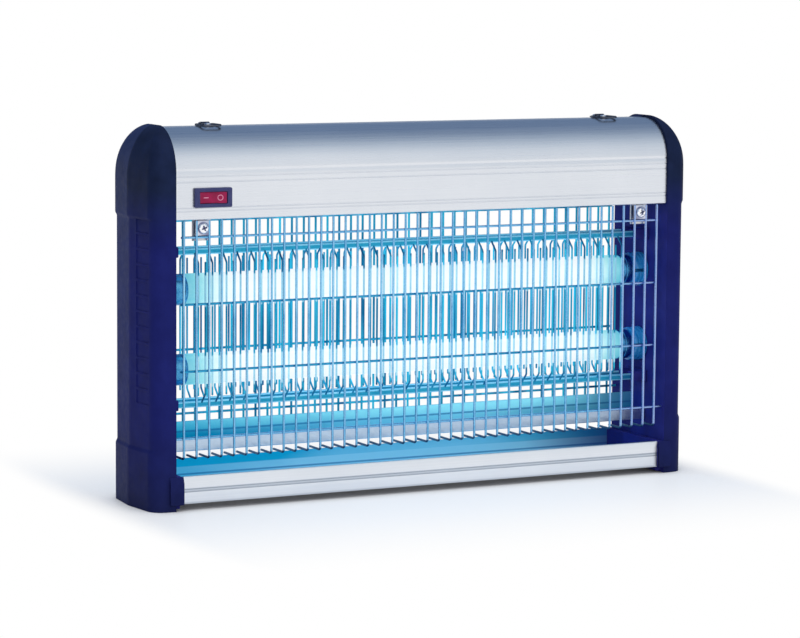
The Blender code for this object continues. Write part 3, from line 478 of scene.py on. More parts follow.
def plated(name, tones, roughness, **constants):
    """Plated metal: cloudy tone and slightly uneven gloss. Its tones can be left open."""
    finish = Finish(name, Metallic=1.0, **constants)
    cloud = finish.noise(120, 4)
    speck = finish.noise(1500, 3)
    if tones:
        fine = finish.two_tone(speck, *tones, 0.35, 0.65)
        finish.set("Base Color", finish.blend(0.3, finish.two_tone(cloud, *tones), fine))
    finish.gloss(speck, roughness)
    finish.bump((cloud, 0.05, 0.0003), (speck, 0.08, 0.00006))
    return finish


def painted_lamp_sheet(name, glow, edges, heights, lift, fade, strength):
    """Drawn aluminium with the lamps' blue light painted on between two Y places, as base colour and glow,
    and painted shade between two X places.

    Heights are its bottom, a line of painted shade on it and its top. Lift is (share of the height,
    brightness) pairs for the painted light.
    """
    finish = brushed(name, ((0.74, 0.77, 0.82), (0.86, 0.88, 0.91)), 0.36, 0.7)
    front, rear = edges
    bottom, line, top = heights
    share = finish.product(
        finish.rising("Y", front - 0.6, front), finish.falling("Y", rear, rear + 0.6),
        finish.rising("Z", bottom, bottom + 0.4),
    )
    # Painted lamp light: brighter towards the middle and by height, clouded at random.
    cloud = finish.noise(22, 3, 0.5, (0.25, 1, 1))
    middle = finish.between(finish.off("X", 50), 0.25, -0.25, 60 * MM, 240 * MM)
    steps = [(level, (grey,) * 3) for level, grey in lift]
    raised = finish.maths("SUBTRACT", finish.ramp(finish.rising("Z", bottom, top), *steps), 0.5)
    bright = finish.maths("ADD", finish.maths("ADD", cloud, middle), raised)
    painted_tint = finish.two_tone(bright, *glow, 0.2, 0.8)
    # Painted shade along a line.
    on_painted_shade_line = finish.within(finish.off("Z", line), 0.5, 1.0, 0.7)
    painted_tint = finish.blend(on_painted_shade_line, painted_tint, (0.01, 0.14, 0.34))
    # Painted shade towards one end.
    painted_tint = finish.blend(finish.rising("X", *fade, high=0.85), painted_tint, (0.02, 0.06, 0.26))
    finish.set("Base Color", finish.blend(share, finish.tone(), painted_tint))
    # The painted blue light also glows as emission.
    finish.set("Emission Color", painted_tint)
    finish.set("Emission Strength", finish.between(share, 0.0, strength))
    return finish


def tray_finish():
    """The tray's sheet: painted lamp light inside, and painted shade in the lines and along the lower edge of
    its front.
    """
    finish = painted_lamp_sheet(
        "tray_painted_lamp_light", ((0.006, 0.38, 0.60), (0.25, 0.60, 0.77)), (-41.4, 42.4), (6.2, 14.7, TRAY_TOP),
        ((0.0, 0.55), (0.42, 0.72), (0.66, 0.72), (0.71, 0.22), (1.0, 0.16)), (140, 225), 0.30,
    )
    # Painted shade in the two lines and along the lower edge of the front.
    lines = finish.within(finish.off("Z", sum(TRAY_LINES) / 2), 1.4, 1.7)
    painted_shade = finish.maths("MAXIMUM", lines, finish.falling("Z", 6.2, 7.8))
    on_front = finish.product(finish.falling("Y", -43.0, -42.6), painted_shade)
    finish.set("Base Color", finish.blend(on_front, finish.tone(), (0.72, 0.75, 0.78), "MULTIPLY"))
    return finish.material


def beside_lamps(finish, full, none):
    """From 1 at the height of a lamp to 0 further away, between two distances in millimetres."""
    from_lamp = finish.off(finish.off("Z", LAMP_MIDDLE), LAMP_SPREAD)
    return finish.within(from_lamp, full, none)


def front_wire():
    """Wire of the front guard with painted light: lamp blue on its base tones and cross wires, a pale painted
    glare and glow by the lamps, violet at the right, and painted shade on the feet.
    """
    # The azure base tones are painted lamp light on zinc.
    finish = plated("zinc_wire_painted_lamp_blue", ((0.13, 0.42, 0.71), (0.29, 0.61, 0.87)), 0.27)
    right = finish.rising("X", 165, 205, high=0.8)
    elsewhere = finish.between(right, 1.0, 0.0, 0.0, 0.8)
    # Painted glare and glow by the lamps.
    near = finish.product(beside_lamps(finish, 13, 21), elsewhere)
    cross_wires = finish.product(finish.rising("Y", -39.6, -39.3), finish.rising("Z", 90, 100))
    tied = finish.product(cross_wires, finish.falling("Z", 190, 200), elsewhere)
    azure = finish.two_tone(finish.noise(60, 2), (0.02, 0.28, 0.50), (0.06, 0.42, 0.66))
    # Painted shade on the feet.
    shade = finish.two_tone(finish.noise(90, 2), (0.02, 0.07, 0.15), (0.05, 0.15, 0.27))
    tone = finish.blend(right, finish.tone(), (0.34, 0.42, 0.74))
    tone = finish.blend(finish.product(near, 0.35), tone, (0.42, 0.72, 0.84))
    tone = finish.blend(tied, tone, azure)
    finish.set("Emission Color", tone)
    finish.set("Emission Strength", finish.between(near, 0.0, 0.08))
    finish.set("Base Color", finish.blend(finish.falling("Z", 43.2, 44.4), tone, shade))
    return finish.material


def lit_wire():
    """Wire with the lamps' blue light painted on, and a faint painted glow. At the front its slants get
    painted shade, and it gets a pale painted glare by the lamps.
    """
    finish = plated("wire_painted_lamp_blue", None, 0.36)
    patch = finish.noise(75, 2, 0.5, (1, 1, 0.12))

    def patched(dark, light):
        return finish.two_tone(patch, dark, light, 0.36, 0.64)

    # Painted lamp light in azure tones, painted shade for the slants, a pale painted glare, and a weak
    # painted glow.
    bright = patched((0.006, 0.19, 0.36), (0.05, 0.60, 0.78))
    shade = patched((0.008, 0.15, 0.32), (0.03, 0.34, 0.54))
    pale = patched((0.28, 0.54, 0.64), (0.46, 0.74, 0.80))
    weak_painted_glow = patched((0.002, 0.08, 0.15), (0.03, 0.40, 0.52))
    front = finish.falling("Y", -8, 0)
    level = finish.off("Z", RAIL_MIDDLE)
    # Painted shade on the front slants.
    slant = finish.product(finish.outside(level, 52.5, 54.0), finish.within(level, 62.5, 63.2), front)
    # Painted glare by the lamps.
    glare = finish.product(beside_lamps(finish, 12.2, 13.6), front)
    strength = finish.maths("ADD", finish.between(slant, 0.3, 0.2), finish.between(glare, 0.0, 0.06))
    finish.set("Base Color", finish.blend(glare, finish.blend(slant, bright, shade), pale))
    finish.set("Emission Color", finish.blend(glare, weak_painted_glow, pale))
    finish.set("Emission Strength", strength)
    return finish.material


def rail_finish():
    """Live rail with the light of both lamps painted on as azure tones and a glow, and painted highlights
    along its edges.
    """
    tones = ((0.015, 0.26, 0.44), (0.04, 0.42, 0.60))
    finish = plated("rail_painted_lamp_blue", tones, 0.34, Emission_Strength=0.25)
    from_rail = finish.off(finish.off("Z", RAIL_MIDDLE), RAIL_SPREAD)
    # Painted highlights along the edges.
    edge = finish.outside(from_rail, 1.2, 2.0)
    bright = finish.two_tone(finish.noise(30, 2), (0.16, 0.58, 0.80), (0.34, 0.76, 0.92))
    finish.set("Base Color", finish.blend(edge, finish.tone(), bright))
    finish.set("Emission Color", finish.blend(edge, (0.01, 0.14, 0.30), bright))
    return finish.material


def navy_finish():
    """Navy plastic: darker at the foot and the head, a painted lighter sheen on the rear half, and painted
    blue lamp light on the inner faces by the lamps.
    """
    finish = moulded("navy_moulding", None, 0.5, Specular_IOR_Level=0.03)
    mottle = finish.noise(*MOTTLE)
    foot = finish.painted(mottle, (25, 30, 62), (30, 36, 72))
    low = finish.painted(mottle, (28, 32, 92), (33, 38, 104))
    head = finish.painted(mottle, (23, 32, 56), (30, 40, 70))
    # Painted sheen for the rear half.
    painted_rear_sheen = finish.painted(mottle, (44, 56, 96), (52, 64, 108))
    inside = finish.painted(mottle, (42, 42, 112), (50, 52, 128))
    tone = finish.blend(finish.falling("Z", 0, 75, 0.8), low, foot)
    tone = finish.blend(finish.rising("Z", 215, 262), tone, head)
    rear = finish.product(finish.rising("Y", 0.8, 2.2, high=0.6), finish.rising("Z", 80, 200, 0.35))
    tone = finish.blend(rear, tone, painted_rear_sheen)
    # Painted lamp light on the inner faces by the lamps.
    between_caps = finish.within(finish.off("X"), 232.1, 232.6)
    by_lamps = finish.product(between_caps, finish.falling("Z", 225, 240), finish.rising("Y", -44.9, -44.6))
    finish.set("Base Color", finish.blend(by_lamps, tone, inside))
    return finish.material


def tab_finish():
    """Plated tab, with painted shade round the screw head and towards its lower inner corner."""
    finish = plated("tab_zinc", ((0.52, 0.55, 0.68), (0.76, 0.78, 0.86)), 0.26)
    across = finish.maths("SUBTRACT", finish.off("X"), TAB_X * MM)
    rise = finish.maths("SUBTRACT", finish.axis("Z"), SCREW_HEIGHT * MM)
    # Painted shade round the screw head and into the lower inner corner.
    ring = finish.within(finish.reach(across, rise), 4.6, 5.6, 0.8)
    inward = finish.product(finish.maths("ADD", across, rise), -1.0)
    corner = finish.between(inward, 0.0, 0.7, 0.0, 9 * MM)
    shade = finish.two_tone(finish.noise(200, 2), (0.03, 0.04, 0.16), (0.07, 0.09, 0.26))
    finish.set("Base Color", finish.blend(finish.maths("MAXIMUM", ring, corner), finish.tone(), shade))
    return finish.material


def screw_finish():
    """Bright nickel, with painted reflections: patches from dark to near-white stand in for what a small
    polished head reflects.
    """
    finish = plated("screw_nickel", None, 0.2)
    # Painted reflections.
    stops = ((0.34, (0.30, 0.34, 0.52)), (0.42, (0.78, 0.80, 0.88)), (0.50, (0.96, 0.97, 0.99)))
    finish.set("Base Color", finish.ramp(finish.noise(420, 1, 0.4), *stops))
    return finish.material


def glass_finish():
    """Glowing tube: white with a cool tint, going to teal at both ends."""
    finish = Finish(
        "lamp_phosphor", Roughness=0.18, Coat_Weight=0.3, Coat_Roughness=0.05, Emission_Strength=0.84
    )
    powder = finish.noise(140, 3)
    colour = finish.ramp(
        finish.outside(finish.off("X"), 165, 209),
        (0.0, (1.0, 1.0, 1.0)),
        (0.40, (0.76, 0.97, 0.97)),
        (0.64, (0.36, 0.80, 0.84)),
        (0.82, (0.15, 0.60, 0.69)),
        (1.0, (0.09, 0.48, 0.62)),
    )
    glow = finish.blend(finish.between(powder, 0.0, 0.10), colour, (0.86, 0.97, 1.0), "MULTIPLY")
    finish.set("Base Color", finish.two_tone(powder, (0.16, 0.22, 0.24), (0.20, 0.26, 0.28)))
    finish.set("Emission Color", glow)
    return finish.material


def rocker_finish():
    """Red rocker, lit from behind and faintly mottled."""
    finish = Finish(
        "rocker_red", Specular_IOR_Level=0.2, Coat_Weight=0.1, Coat_Roughness=0.1, Emission_Strength=0.35
    )
    mottle = finish.noise(160, 3)
    finish.set("Base Color", finish.painted(mottle, (120, 12, 54), (140, 18, 66)))
    finish.set("Emission Color", finish.painted(mottle, (112, 4, 44), (140, 8, 58)))
    finish.set("Roughness", finish.between(finish.noise(500, 2), 0.24, 0.38))
    return finish.material


NAVY = navy_finish()
COVER = brushed("cover_brushed", ((0.70, 0.735, 0.79), (0.83, 0.85, 0.89)), 0.30).material
# The front strip is aluminium; its blue tones are painted blue light.
STRIP = brushed("front_strip_sheet", ((0.54, 0.69, 0.85), (0.72, 0.83, 0.94)), 0.36, 0.7).material
TRAY = tray_finish()
# The rear strip's blue and glow are painted lamp light, and its dark line is painted shade.
LIT_STRIP = painted_lamp_sheet(
    "rear_strip_painted_lamp_light", ((0.005, 0.31, 0.50), (0.24, 0.70, 0.82)), (10.0, 11.8), (43.0, 56.5, REAR_STRIP_TOP),
    ((0.0, 0.28), (1.0, 0.68)), (190, 250), 0.34,
).material
ZINC = front_wire()
GRID = lit_wire()
RAIL = rail_finish()
DARK_STEEL = plated("steel_darkened", ((0.04, 0.05, 0.07), (0.15, 0.16, 0.20)), 0.34).material
STEEL = plated("steel_zinc_plated", ((0.52, 0.53, 0.56), (0.66, 0.67, 0.70)), 0.30).material
BRIGHT = tab_finish()
SCREW = screw_finish()
# Painted shade for the floor of the screw recesses.
RECESS = moulded("recess_shade", ((44, 48, 86), (72, 76, 112)), 0.5, 0.5, Specular_IOR_Level=0.2).material
GLASS = glass_finish()
HOLDER = moulded(
    "holder_moulding", ((16, 104, 172), (48, 150, 208)), 0.28, 0.5, Coat_Weight=0.4, Coat_Roughness=0.12
).material
# The lamp bases are aluminium; their blue tones are painted blue light.
BASE = plated("lamp_base_blue", ((0.02, 0.20, 0.48), (0.14, 0.50, 0.78)), 0.24).material
BLACK = moulded("black_moulding", ((56, 59, 98), (70, 74, 116)), 0.36, 0.7, Specular_IOR_Level=0.2).material
RED = rocker_finish()
IRON = moulded("lacquered_core", ((60, 60, 66), (84, 82, 84)), 0.45, 2.0, Metallic=0.5).material
WHITE = moulded("white_moulding", ((214, 214, 208), (230, 229, 224)), 0.42).material
MARK = moulded(
    "mark_print", ((228, 150, 176), (240, 176, 198)), 0.45, 0.4,
    Emission_Color=(0.8, 0.35, 0.48, 1), Emission_Strength=0.15,
).material


# Pieces

def piece(name, shape, finish, body, slot, *nodes, smooth=35, bevel=0.0):
    """A mesh drawn in millimetres that rides on a body and stands for CAD nodes."""
    bmesh.ops.transform(shape, matrix=Matrix.Scale(MM, 4), verts=shape.verts)
    bmesh.ops.recalc_face_normals(shape, faces=shape.faces)
    mesh = solid(name, shape)
    mesh.materials.append(finish)
    mesh.shade_smooth()
    mesh.set_sharp_from_angle(angle=math.radians(smooth))
    item = add(name, mesh)
    if bevel:
        soft = item.modifiers.new("soft_edges", "BEVEL")
        soft.width = bevel * MM
        soft.segments = 2
        soft.limit_method = "ANGLE"
        soft.angle_limit = math.radians(smooth)
        soft.harden_normals = True
    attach(item, body)
    if nodes:
        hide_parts(*nodes)
    return item


def arch(half, bottom, steps=36):
    """An upright outline in (y, z) with round shoulders and a flat top, front foot first."""
    radius = half - ARCH_FLAT
    turns = [math.pi / 2 * i / steps for i in range(steps + 1)]
    rear = [(ARCH_FLAT + radius * math.cos(t), ARCH_HEIGHT + radius * math.sin(t)) for t in turns]
    return [(-half, bottom), *((-y, z) for y, z in rear), *reversed(rear), (half, bottom)]


def cap_plan(waist):
    """The cap's outline from above as (outward, y): round corners, and facets that rise to a ridge."""
    corner = CAP_CORNER - waist
    edge = CAP_HALF_DEPTH - CAP_CORNER
    rear = [(out, CAP_HALF_DEPTH) for out in (0.0, 2.0, CAP_STRAIGHT)]
    for step in range(1, 15):
        t = math.pi / 2 * step / 14
        rear.append((CAP_STRAIGHT + corner * math.sin(t), CAP_HALF_DEPTH - CAP_CORNER * (1 - math.cos(t))))
    for y in (31.0, 2.4, RIDGE_Y, 0.5):
        rear.append((CAP_STRAIGHT + corner + FACET_RISE * min(1.0, (edge - y) / FACET_RUN), y))
    return [(out, -y) for out, y in rear] + rear[::-1]


def cap_body(side):
    """The outside of an end cap: foot and leaning head stand a little proud of the waist between them."""
    heights = [(0.0, 0.0, 1.0, 1.0), (1.0, 0.0, 1.0, 1.0)]
    for start, end, first, last in ((WAIST[0], WAIST[1], 0.0, 1.0), (WAIST[2], WAIST[3], 1.0, 0.0)):
        for step in range(9):
            t = step / 8
            ease = t * t * (3 - 2 * t)
            waist = WAIST_DEPTH * (first + (last - first) * ease)
            heights.append((start + (end - start) * t, waist, 1.0, 1.0))
    radius = CAP_HALF_DEPTH - ARCH_FLAT
    for step in range(41):
        t = HEAD_TURN * step / 40
        rise = CAP_HALF_DEPTH * math.sin(t) - ARCH_FLAT
        half = ARCH_FLAT + math.sqrt(radius ** 2 - max(rise, 0.0) ** 2)
        heights.append((ARCH_HEIGHT + rise, 0.0, math.cos(t) ** HEAD_TAPER, half / CAP_HALF_DEPTH))
    shape = bmesh.new()
    loft(shape, [
        [(side * (INNER_HALF + out * wide), y * deep, z) for out, y in cap_plan(waist)]
        for z, waist, wide, deep in heights
    ])
    return shape


def ladder(side):
    """Blocks that cut shallow pockets one above another into the front facet."""
    shape = bmesh.new()
    slope = math.atan2(FACET_RISE, FACET_RUN)
    ridge = INNER_HALF + CAP_STRAIGHT + CAP_CORNER - WAIST_DEPTH + FACET_RISE
    facet = ridge - (POCKET_Y - RIDGE_Y) * math.tan(slope)
    middle = facet + POCKET_SIZE[0] / 2 - POCKET_DEPTH
    lean = Matrix.Rotation(-side * slope, 4, "Z")
    for step in range(POCKET_COUNT):
        height = POCKET_BOTTOM + (step + 0.5) * POCKET_PITCH
        place = Matrix.Translation((side * middle, -POCKET_Y, height)) @ lean
        bmesh.ops.create_cube(shape, size=1, matrix=place @ Matrix.Diagonal((*POCKET_SIZE, 1)))
    return shape


def make_end_cap(side, hand):
    """An end cap with its pockets, and the ledge at its foot."""
    shape = carve(cap_body(side), ladder(side))
    low, high = span(side, 227, 233)
    box(shape, (low, -40.5, 1.6), (high, 40.5, 5.1))
    piece(f"{hand}_cap", shape, NAVY, "housing", "navy_plastic", f"{hand}_end_cap", smooth=28, bevel=0.3)


def cover_side(sign):
    """One upright side of the cover, bottom to top in (y, z), with its grooves."""
    edge = sign * COVER_HALF
    points = [(edge - sign * 0.5, COVER_BOTTOM), (edge, COVER_BOTTOM + 0.5)]
    for middle, depth in COVER_GROOVES:
        points += groove(edge, edge - sign * depth, middle, 0.5, 0.25)
    return points


def cover_crown():
    """The arch from front to rear in (y, z), with a shallow groove low on each side."""
    start, end, depth = CROWN_GROOVE
    quarter = []
    for i in range(61):
        t = 90 * i / 60
        drop = depth if start < t < end else 0.0
        radius = COVER_HALF - ARCH_FLAT - drop
        a = math.radians(t)
        quarter.append((ARCH_FLAT + radius * math.cos(a), ARCH_HEIGHT + radius * math.sin(a)))
    return [(-y, z) for y, z in quarter] + quarter[::-1]


def at_switch(half, front, rear, rise):
    """Corners of a box round the switch, between two Y places."""
    return (SWITCH.x - half, front, SWITCH.z - rise), (SWITCH.x + half, rear, SWITCH.z + rise)


def make_cover():
    """The cover, hollow underneath, with a lip along both lower edges and an opening for the switch."""
    outside = cover_side(-1) + cover_crown() + cover_side(1)[::-1]
    lip = COVER_BOTTOM + COVER_LIP
    inner = arch(COVER_HALF - COVER_SHEET, lip)
    inside = [(COVER_LIP_Y, COVER_BOTTOM), (COVER_LIP_Y, lip), *inner[::-1]]
    inside += [(-COVER_LIP_Y, lip), (-COVER_LIP_Y, COVER_BOTTOM)]
    shape = bmesh.new()
    extrude(shape, outside + inside, PIECE_HALF, ACROSS)
    hole = boxes(at_switch(14.8, -45, -39, 6.5))
    piece("cover", carve(shape, hole), COVER, "housing", "brushed_aluminium", "top_cover")


def make_grille(sign, label, body):
    """Upright wires bent inwards at the foot, with two welded and two tied cross wires."""
    shape = bmesh.new()
    plane, foot = sign * GRILLE_PLANE, sign * GRILLE_FOOT_END
    for i in range(GRILLE_COUNT):
        x = (i - GRILLE_COUNT // 2) * GRILLE_PITCH
        path = [(x, plane, GRILLE_TOP), (x, plane, GRILLE_FOOT), (x, foot, GRILLE_FOOT)]
        wire(shape, fillet(path, WIRE_BEND), GRILLE_RADIUS)
    top, upper, lower, pivot = CROSS_HEIGHTS[sign]
    cross_wires = (
        (CROSS_HALF, WELDED_Y, top), (PIVOT_HALF, WELDED_Y, pivot),
        (CROSS_HALF, TIED_Y, lower), (CROSS_HALF, TIED_Y, upper),
    )
    for half, y, z in cross_wires:
        wire(shape, [(-half, sign * y, z), (half, sign * y, z)], GRILLE_RADIUS)
    name = f"{label}_grille"
    piece(
        f"{label}_guard", shape, ZINC if sign < 0 else GRID, body, "zinc_wire",
        name, f"{name}_lower_cross_wire", f"{name}_upper_cross_wire",
    )


def make_tabs():
    """Square plates welded across the second and third wires at each end."""
    for side, hand in SIDES:
        shape = bmesh.new()
        middle = side * TAB_X
        box(shape, (middle - TAB_HALF, -41.1, 224.4), (middle + TAB_HALF, -39.9, 236.5), 0.35, 2)
        piece(f"{hand}_guard_tab", shape, BRIGHT, "front_guard", "bright_screw")


def plus(length, width):
    """A cross outline with arms of one length and width."""
    far = length / 2
    near = width / 2
    quarter = [(near, -far), (near, -near), (far, -near)]
    outline = []
    for _ in range(4):
        outline += quarter
        quarter = [(-y, x) for x, y in quarter]
    return outline


def screw(name, seat, outward, sizes, body, node):
    """A pan-head screw with a cross recess, and a dark insert in it as painted shade."""
    head, height, radius, length = sizes
    place = along(outward, seat)
    turned = place @ Matrix.Rotation(0.35, 4, "Z")

    def cross(reach, width, middle, half):
        """A cross whose sizes are shares of the head's radius and height."""
        made = bmesh.new()
        level = turned @ Matrix.Translation((0, 0, height * middle))
        extrude(made, plus(head * reach, head * width), height * half, level)
        return made

    dome = [(0.02, 1), (0.45, 0.98), (0.7, 0.88), (0.88, 0.68), (0.97, 0.45), (1, 0.3), (1, 0)]
    profile = [(head * share, height * level) for share, level in dome]
    shape = bmesh.new()
    turn(shape, [*profile, (radius, 0), (radius, -length * 0.9), (radius * 0.6, -length)], place, 32)
    cut = carve(shape, cross(1.05, 0.26, 0.95, 0.5))
    piece(name, cut, SCREW, body, "bright_screw", node, smooth=40)
    # A dark insert of painted shade in the recess.
    piece(f"{name}_recess", cross(1.03, 0.24, 0.58, 0.1), RECESS, body, "bright_screw")


def make_comb(sign, label, level, rail, other):
    """A live rail with slanted wires that run past the lamps."""
    y = sign * RAIL_Y
    shape = bmesh.new()
    box(shape, (-RAIL_HALF, y - 2, rail - 2.5), (RAIL_HALF, y + 2, rail + 2.5), 0.7)
    piece(f"{label}_{level}_rail", shape, RAIL, "housing", "grid_wire", f"{label}_{level}_grid_comb")
    shape = bmesh.new()
    plane = sign * COMB_Y
    down = -1 if level == "upper" else 1
    shift = 0.0 if level == "upper" else 0.5
    for i in range(-16, 17):
        x = COMB_PITCH * (i + shift)
        if abs(x) <= COMB_HALF:
            path = [(x, y, rail), (x, plane, rail + down * COMB_SLANT), (x, plane, other - down * COMB_STOP)]
            wire(shape, fillet(path, WIRE_BEND, 4), COMB_RADIUS, 8)
    piece(f"{label}_{level}_grid", shape, GRID, "housing", "grid_wire")


def make_insulator(side, hand, level, rail):
    """A plate on the end cap with a hollow post for the end of each rail."""
    low, high = span(side, 229.3, PIECE_HALF)
    shape = bmesh.new()
    box(shape, (low, -14.9, rail - 5.4), (high, 14.9, rail + 5.4), 0.7)
    near, far = span(side, 216.7, 230.5)
    mouth, bed = span(side, 214, 221)
    for sign, _ in FACES:
        y = sign * RAIL_Y
        post = bmesh.new()
        box(post, (near, y - 3.9, rail - 4.4), (far, y + 3.9, rail + 4.4), 0.9)
        join(shape, carve(post, boxes(((mouth, y - 2.3, rail - 2.8), (bed, y + 2.3, rail + 2.8)))))
    name = f"{level}_{hand}"
    piece(f"{name}_grid_block", shape, NAVY, "housing", "navy_plastic", f"{name}_insulator")


def make_strip(sign, label, finish, top):
    shape = bmesh.new()
    inner, outer = sorted(sign * y for y in STRIP_Y)
    box(shape, (-PIECE_HALF, inner, STRIP_BOTTOM), (PIECE_HALF, outer, top), 0.6)
    piece(f"{label}_strip", shape, finish, "housing", "plain_aluminium", f"{label}_guide_strip")


def make_lamp(level, height):
    """A glass tube necked in at its ends, with a crimped metal base and two pins at each."""
    body = f"{level}_tube"
    end = [(13, 203.5), (12.9, 205.2), (12.55, 206.6), (12.4, 208.5), (12.4, 209.4)]
    shape = bmesh.new()
    turn(shape, [(r, -x) for r, x in end[::-1]] + end, along((1, 0, 0), (0, 0, height)), 64)
    glass = piece(f"{level}_tube_glass", shape, GLASS, body, "lamp_glass", f"{level}_lamp")
    glass.visible_shadow = False
    base = [
        (12.55, 207.6), (12.9, 207.9), (13, 208.4), (13, 210.2), (12.7, 210.6), (12.7, 211.6), (13, 212),
        (13, 217.6), (12.7, 218.4), (12.0, 218.7), (9.2, 218.7), (9.0, 218.2), (1.0, 218.2),
    ]
    pin = [(1.15, 217.5), (1.15, 225.1), (0.8, 225.7)]
    for side, hand in SIDES:
        shape = bmesh.new()
        turn(shape, base, along((side, 0, 0), (0, 0, height)), 64)
        for up in (-1, 1):
            turn(shape, pin, along((side, 0, 0), (0, 0, height + up * PIN_SPREAD)), 16)
        piece(f"{level}_tube_{hand}_cap", shape, BASE, body, "plain_aluminium", f"{level}_lamp_{hand}_base")


def make_lampholder(side, hand, level, height):
    """A stepped round holder, bored for its rotor, with an entry slot at the front."""
    shape = bmesh.new()
    place = along((side, 0, 0), (0, 0, height))
    profile = [
        (13.2, 219), (14.2, 219.4), (14.6, 220.2), (14.6, 223), (14.2, 223.4), (14.2, 224.2), (14.6, 224.6),
        (14.6, 227.6), (15, 228), (15, 231.4), (14.7, PIECE_HALF),
    ]
    turn(shape, profile, place, 56)
    mouth, bed = 215, 228.2
    bore = bmesh.new()
    turn(bore, [(9.3, mouth), (9.3, bed)], place, 40)
    low, high = span(side, mouth, bed)
    slot = boxes(((low, -20, height - 1.45), (high, 0, height + 1.45)))
    piece(
        f"{level}_{hand}_socket", carve(shape, bore, slot), HOLDER, "housing", "holder_plastic",
        f"{level}_{hand}_lampholder", bevel=0.2,
    )


def make_tray():
    """A shallow channel with two fine lines along its front, and a handle at each end."""
    front = [(-42.9, TRAY_FLOOR), (-43.6, 5.7), (-TRAY_HALF, 6.4)]
    for middle in TRAY_LINES:
        front += groove(-TRAY_HALF, -43.3, middle, 0.5, 0.2)
    front += [(-TRAY_HALF, 27.4), (-43.6, 28.1), (-43.0, TRAY_TOP)]
    inside = [
        (-41.9, TRAY_TOP), (-41.4, 28.0), (-41.3, 27.4), (-41.3, 8.4), (-40.9, 7.4), (-39.9, 7.0),
        (40.9, 7.0), (41.9, 7.4), (42.3, 8.4), (42.3, 28.1), (42.6, TRAY_TOP),
    ]
    rear = [(43.6, TRAY_TOP), (TRAY_HALF, 28.1), (TRAY_HALF, 6.4), (43.6, 5.7), (42.9, TRAY_FLOOR)]
    shape = bmesh.new()
    extrude(shape, front + inside + rear, 225.7, ACROSS)
    piece("tray_channel", shape, TRAY, "tray", "plain_aluminium", "collection_tray")
    handle = [
        (-47.5, 6.2), (-47.5, 22.9), (-47.2, 23.8), (-45.8, 27.9), (-45.5, TRAY_TOP), (-45.3, TRAY_TOP),
        (-45.3, TRAY_FLOOR), (-46.7, TRAY_FLOOR), (-47.2, 5.6),
    ]
    for side, hand in SIDES:
        shape = bmesh.new()
        low, high = span(side, 226, 231.4)
        box(shape, (low, -TRAY_HALF, TRAY_FLOOR), (high, TRAY_HALF, TRAY_TOP), 0.8)
        box(shape, (low, -46.2, TRAY_FLOOR), (high, -42.3, 23.4), 0.3)
        extrude(shape, handle, 6.0, Matrix.Translation((side * INNER_HALF, 0, 0)) @ ACROSS)
        piece(f"{hand}_tray_handle", shape, NAVY, "tray", "navy_plastic", f"{hand}_tray_end", bevel=0.35)


def make_switch():
    """A bezel with rounded edges, and the dished rocker with its two marks."""
    pocket = at_switch(12.1, -50, -38.2, 4.8)
    shape = bmesh.new()
    box(shape, *at_switch(16.5, -45.6, -42.9, 8), 1.1, 4)
    shape = carve(shape, boxes(pocket))
    join(shape, carve(boxes(at_switch(14.5, -44, -25.9, 6.2)), boxes(pocket)))
    piece("switch_frame", shape, BLACK, "housing", "black_plastic", "switch_housing", bevel=0.25)

    place = Matrix.Translation(SWITCH) @ Matrix.Rotation(-math.radians(8), 4, "Z")
    half, dish, crease = 11.3, 1.4, 0.004
    front = []
    for i in range(17):
        x = half - 2 * half * i / 16
        front.append((x, -2.0 - dish * math.sqrt((x / half) ** 2 + crease) / math.sqrt(1 + crease)))
    shape = bmesh.new()
    extrude(shape, [(-half, 1.0), (0, 3.2), (half, 1.0), *front], 4.5, place)
    piece("rocker", shape, RED, "rocker", "red_rocker", "switch_rocker", smooth=30, bevel=0.35)

    lean = math.atan2(dish, half)
    shape = bmesh.new()
    left, right = (
        place @ Matrix.Translation((side * 6.0, -2.77, 0)) @ Matrix.Rotation(-side * lean, 4, "Z")
        for side, _ in SIDES
    )
    extrude(shape, [(-2.1, -0.06), (2.1, -0.06), (2.1, 0.3), (-2.1, 0.3)], 0.28, left)
    circle = [2 * math.pi * i / 28 for i in range(28)]
    ring = [right @ Vector((2.1 * math.cos(a), 0.06, 2.1 * math.sin(a))) for a in circle]
    wire(shape, ring, 0.26, 8, closed=True)
    piece("rocker_marks", shape, MARK, "rocker", "red_rocker")


def make_hanger(side, hand):
    """A strap over the crown that holds a folding ring."""
    x = side * HANGER_X
    bottom = CROWN + 0.3
    half, bore, sheet = 10, 1.3, 1.0
    hump = [math.radians(180 * i / 20) for i in range(21)]

    def over(radius):
        return [(-radius * math.cos(t), RING_HEIGHT + radius * math.sin(t)) for t in hump]

    lower = [(-half, bottom), (-bore, bottom), *over(bore), (bore, bottom), (half, bottom)]
    upper = [(-half, bottom + sheet), *over(bore + sheet), (half, bottom + sheet)]
    shape = bmesh.new()
    extrude(shape, lower + upper[::-1], 4.0, Matrix.Translation((x, 0, 0)) @ ACROSS)
    piece(f"{hand}_strap", shape, DARK_STEEL, "housing", "plated_steel", f"{hand}_hanger_strap", bevel=0.2)

    for sign, label in FACES:
        seat = (x, sign * 6.6, CROWN + 1.6)
        name = f"{hand}_hanger_{label}_screw"
        screw(f"{hand}_{label}_strap_screw", seat, (0, 0, 1), (2.7, 1.4, 1.4, 7), "housing", name)

    place = Matrix.Translation((x, 0, RING_HEIGHT))
    loop = [(-8, 0, 0), (8, 0, 0), (8, -17, 0), (-8, -17, 0)]
    near = fillet(loop, 1.0, 5, closed=True)
    far = fillet(loop, 4.0, 8, closed=True)
    path = [p for p in near if p.y > -8] + [p for p in far if p.y < -8]
    shape = bmesh.new()
    wire(shape, [place @ point for point in path], 1.0, 14, closed=True)
    piece(f"{hand}_ring", shape, DARK_STEEL, f"{hand}_ring", "plated_steel", f"{hand}_hanger_ring", smooth=60)


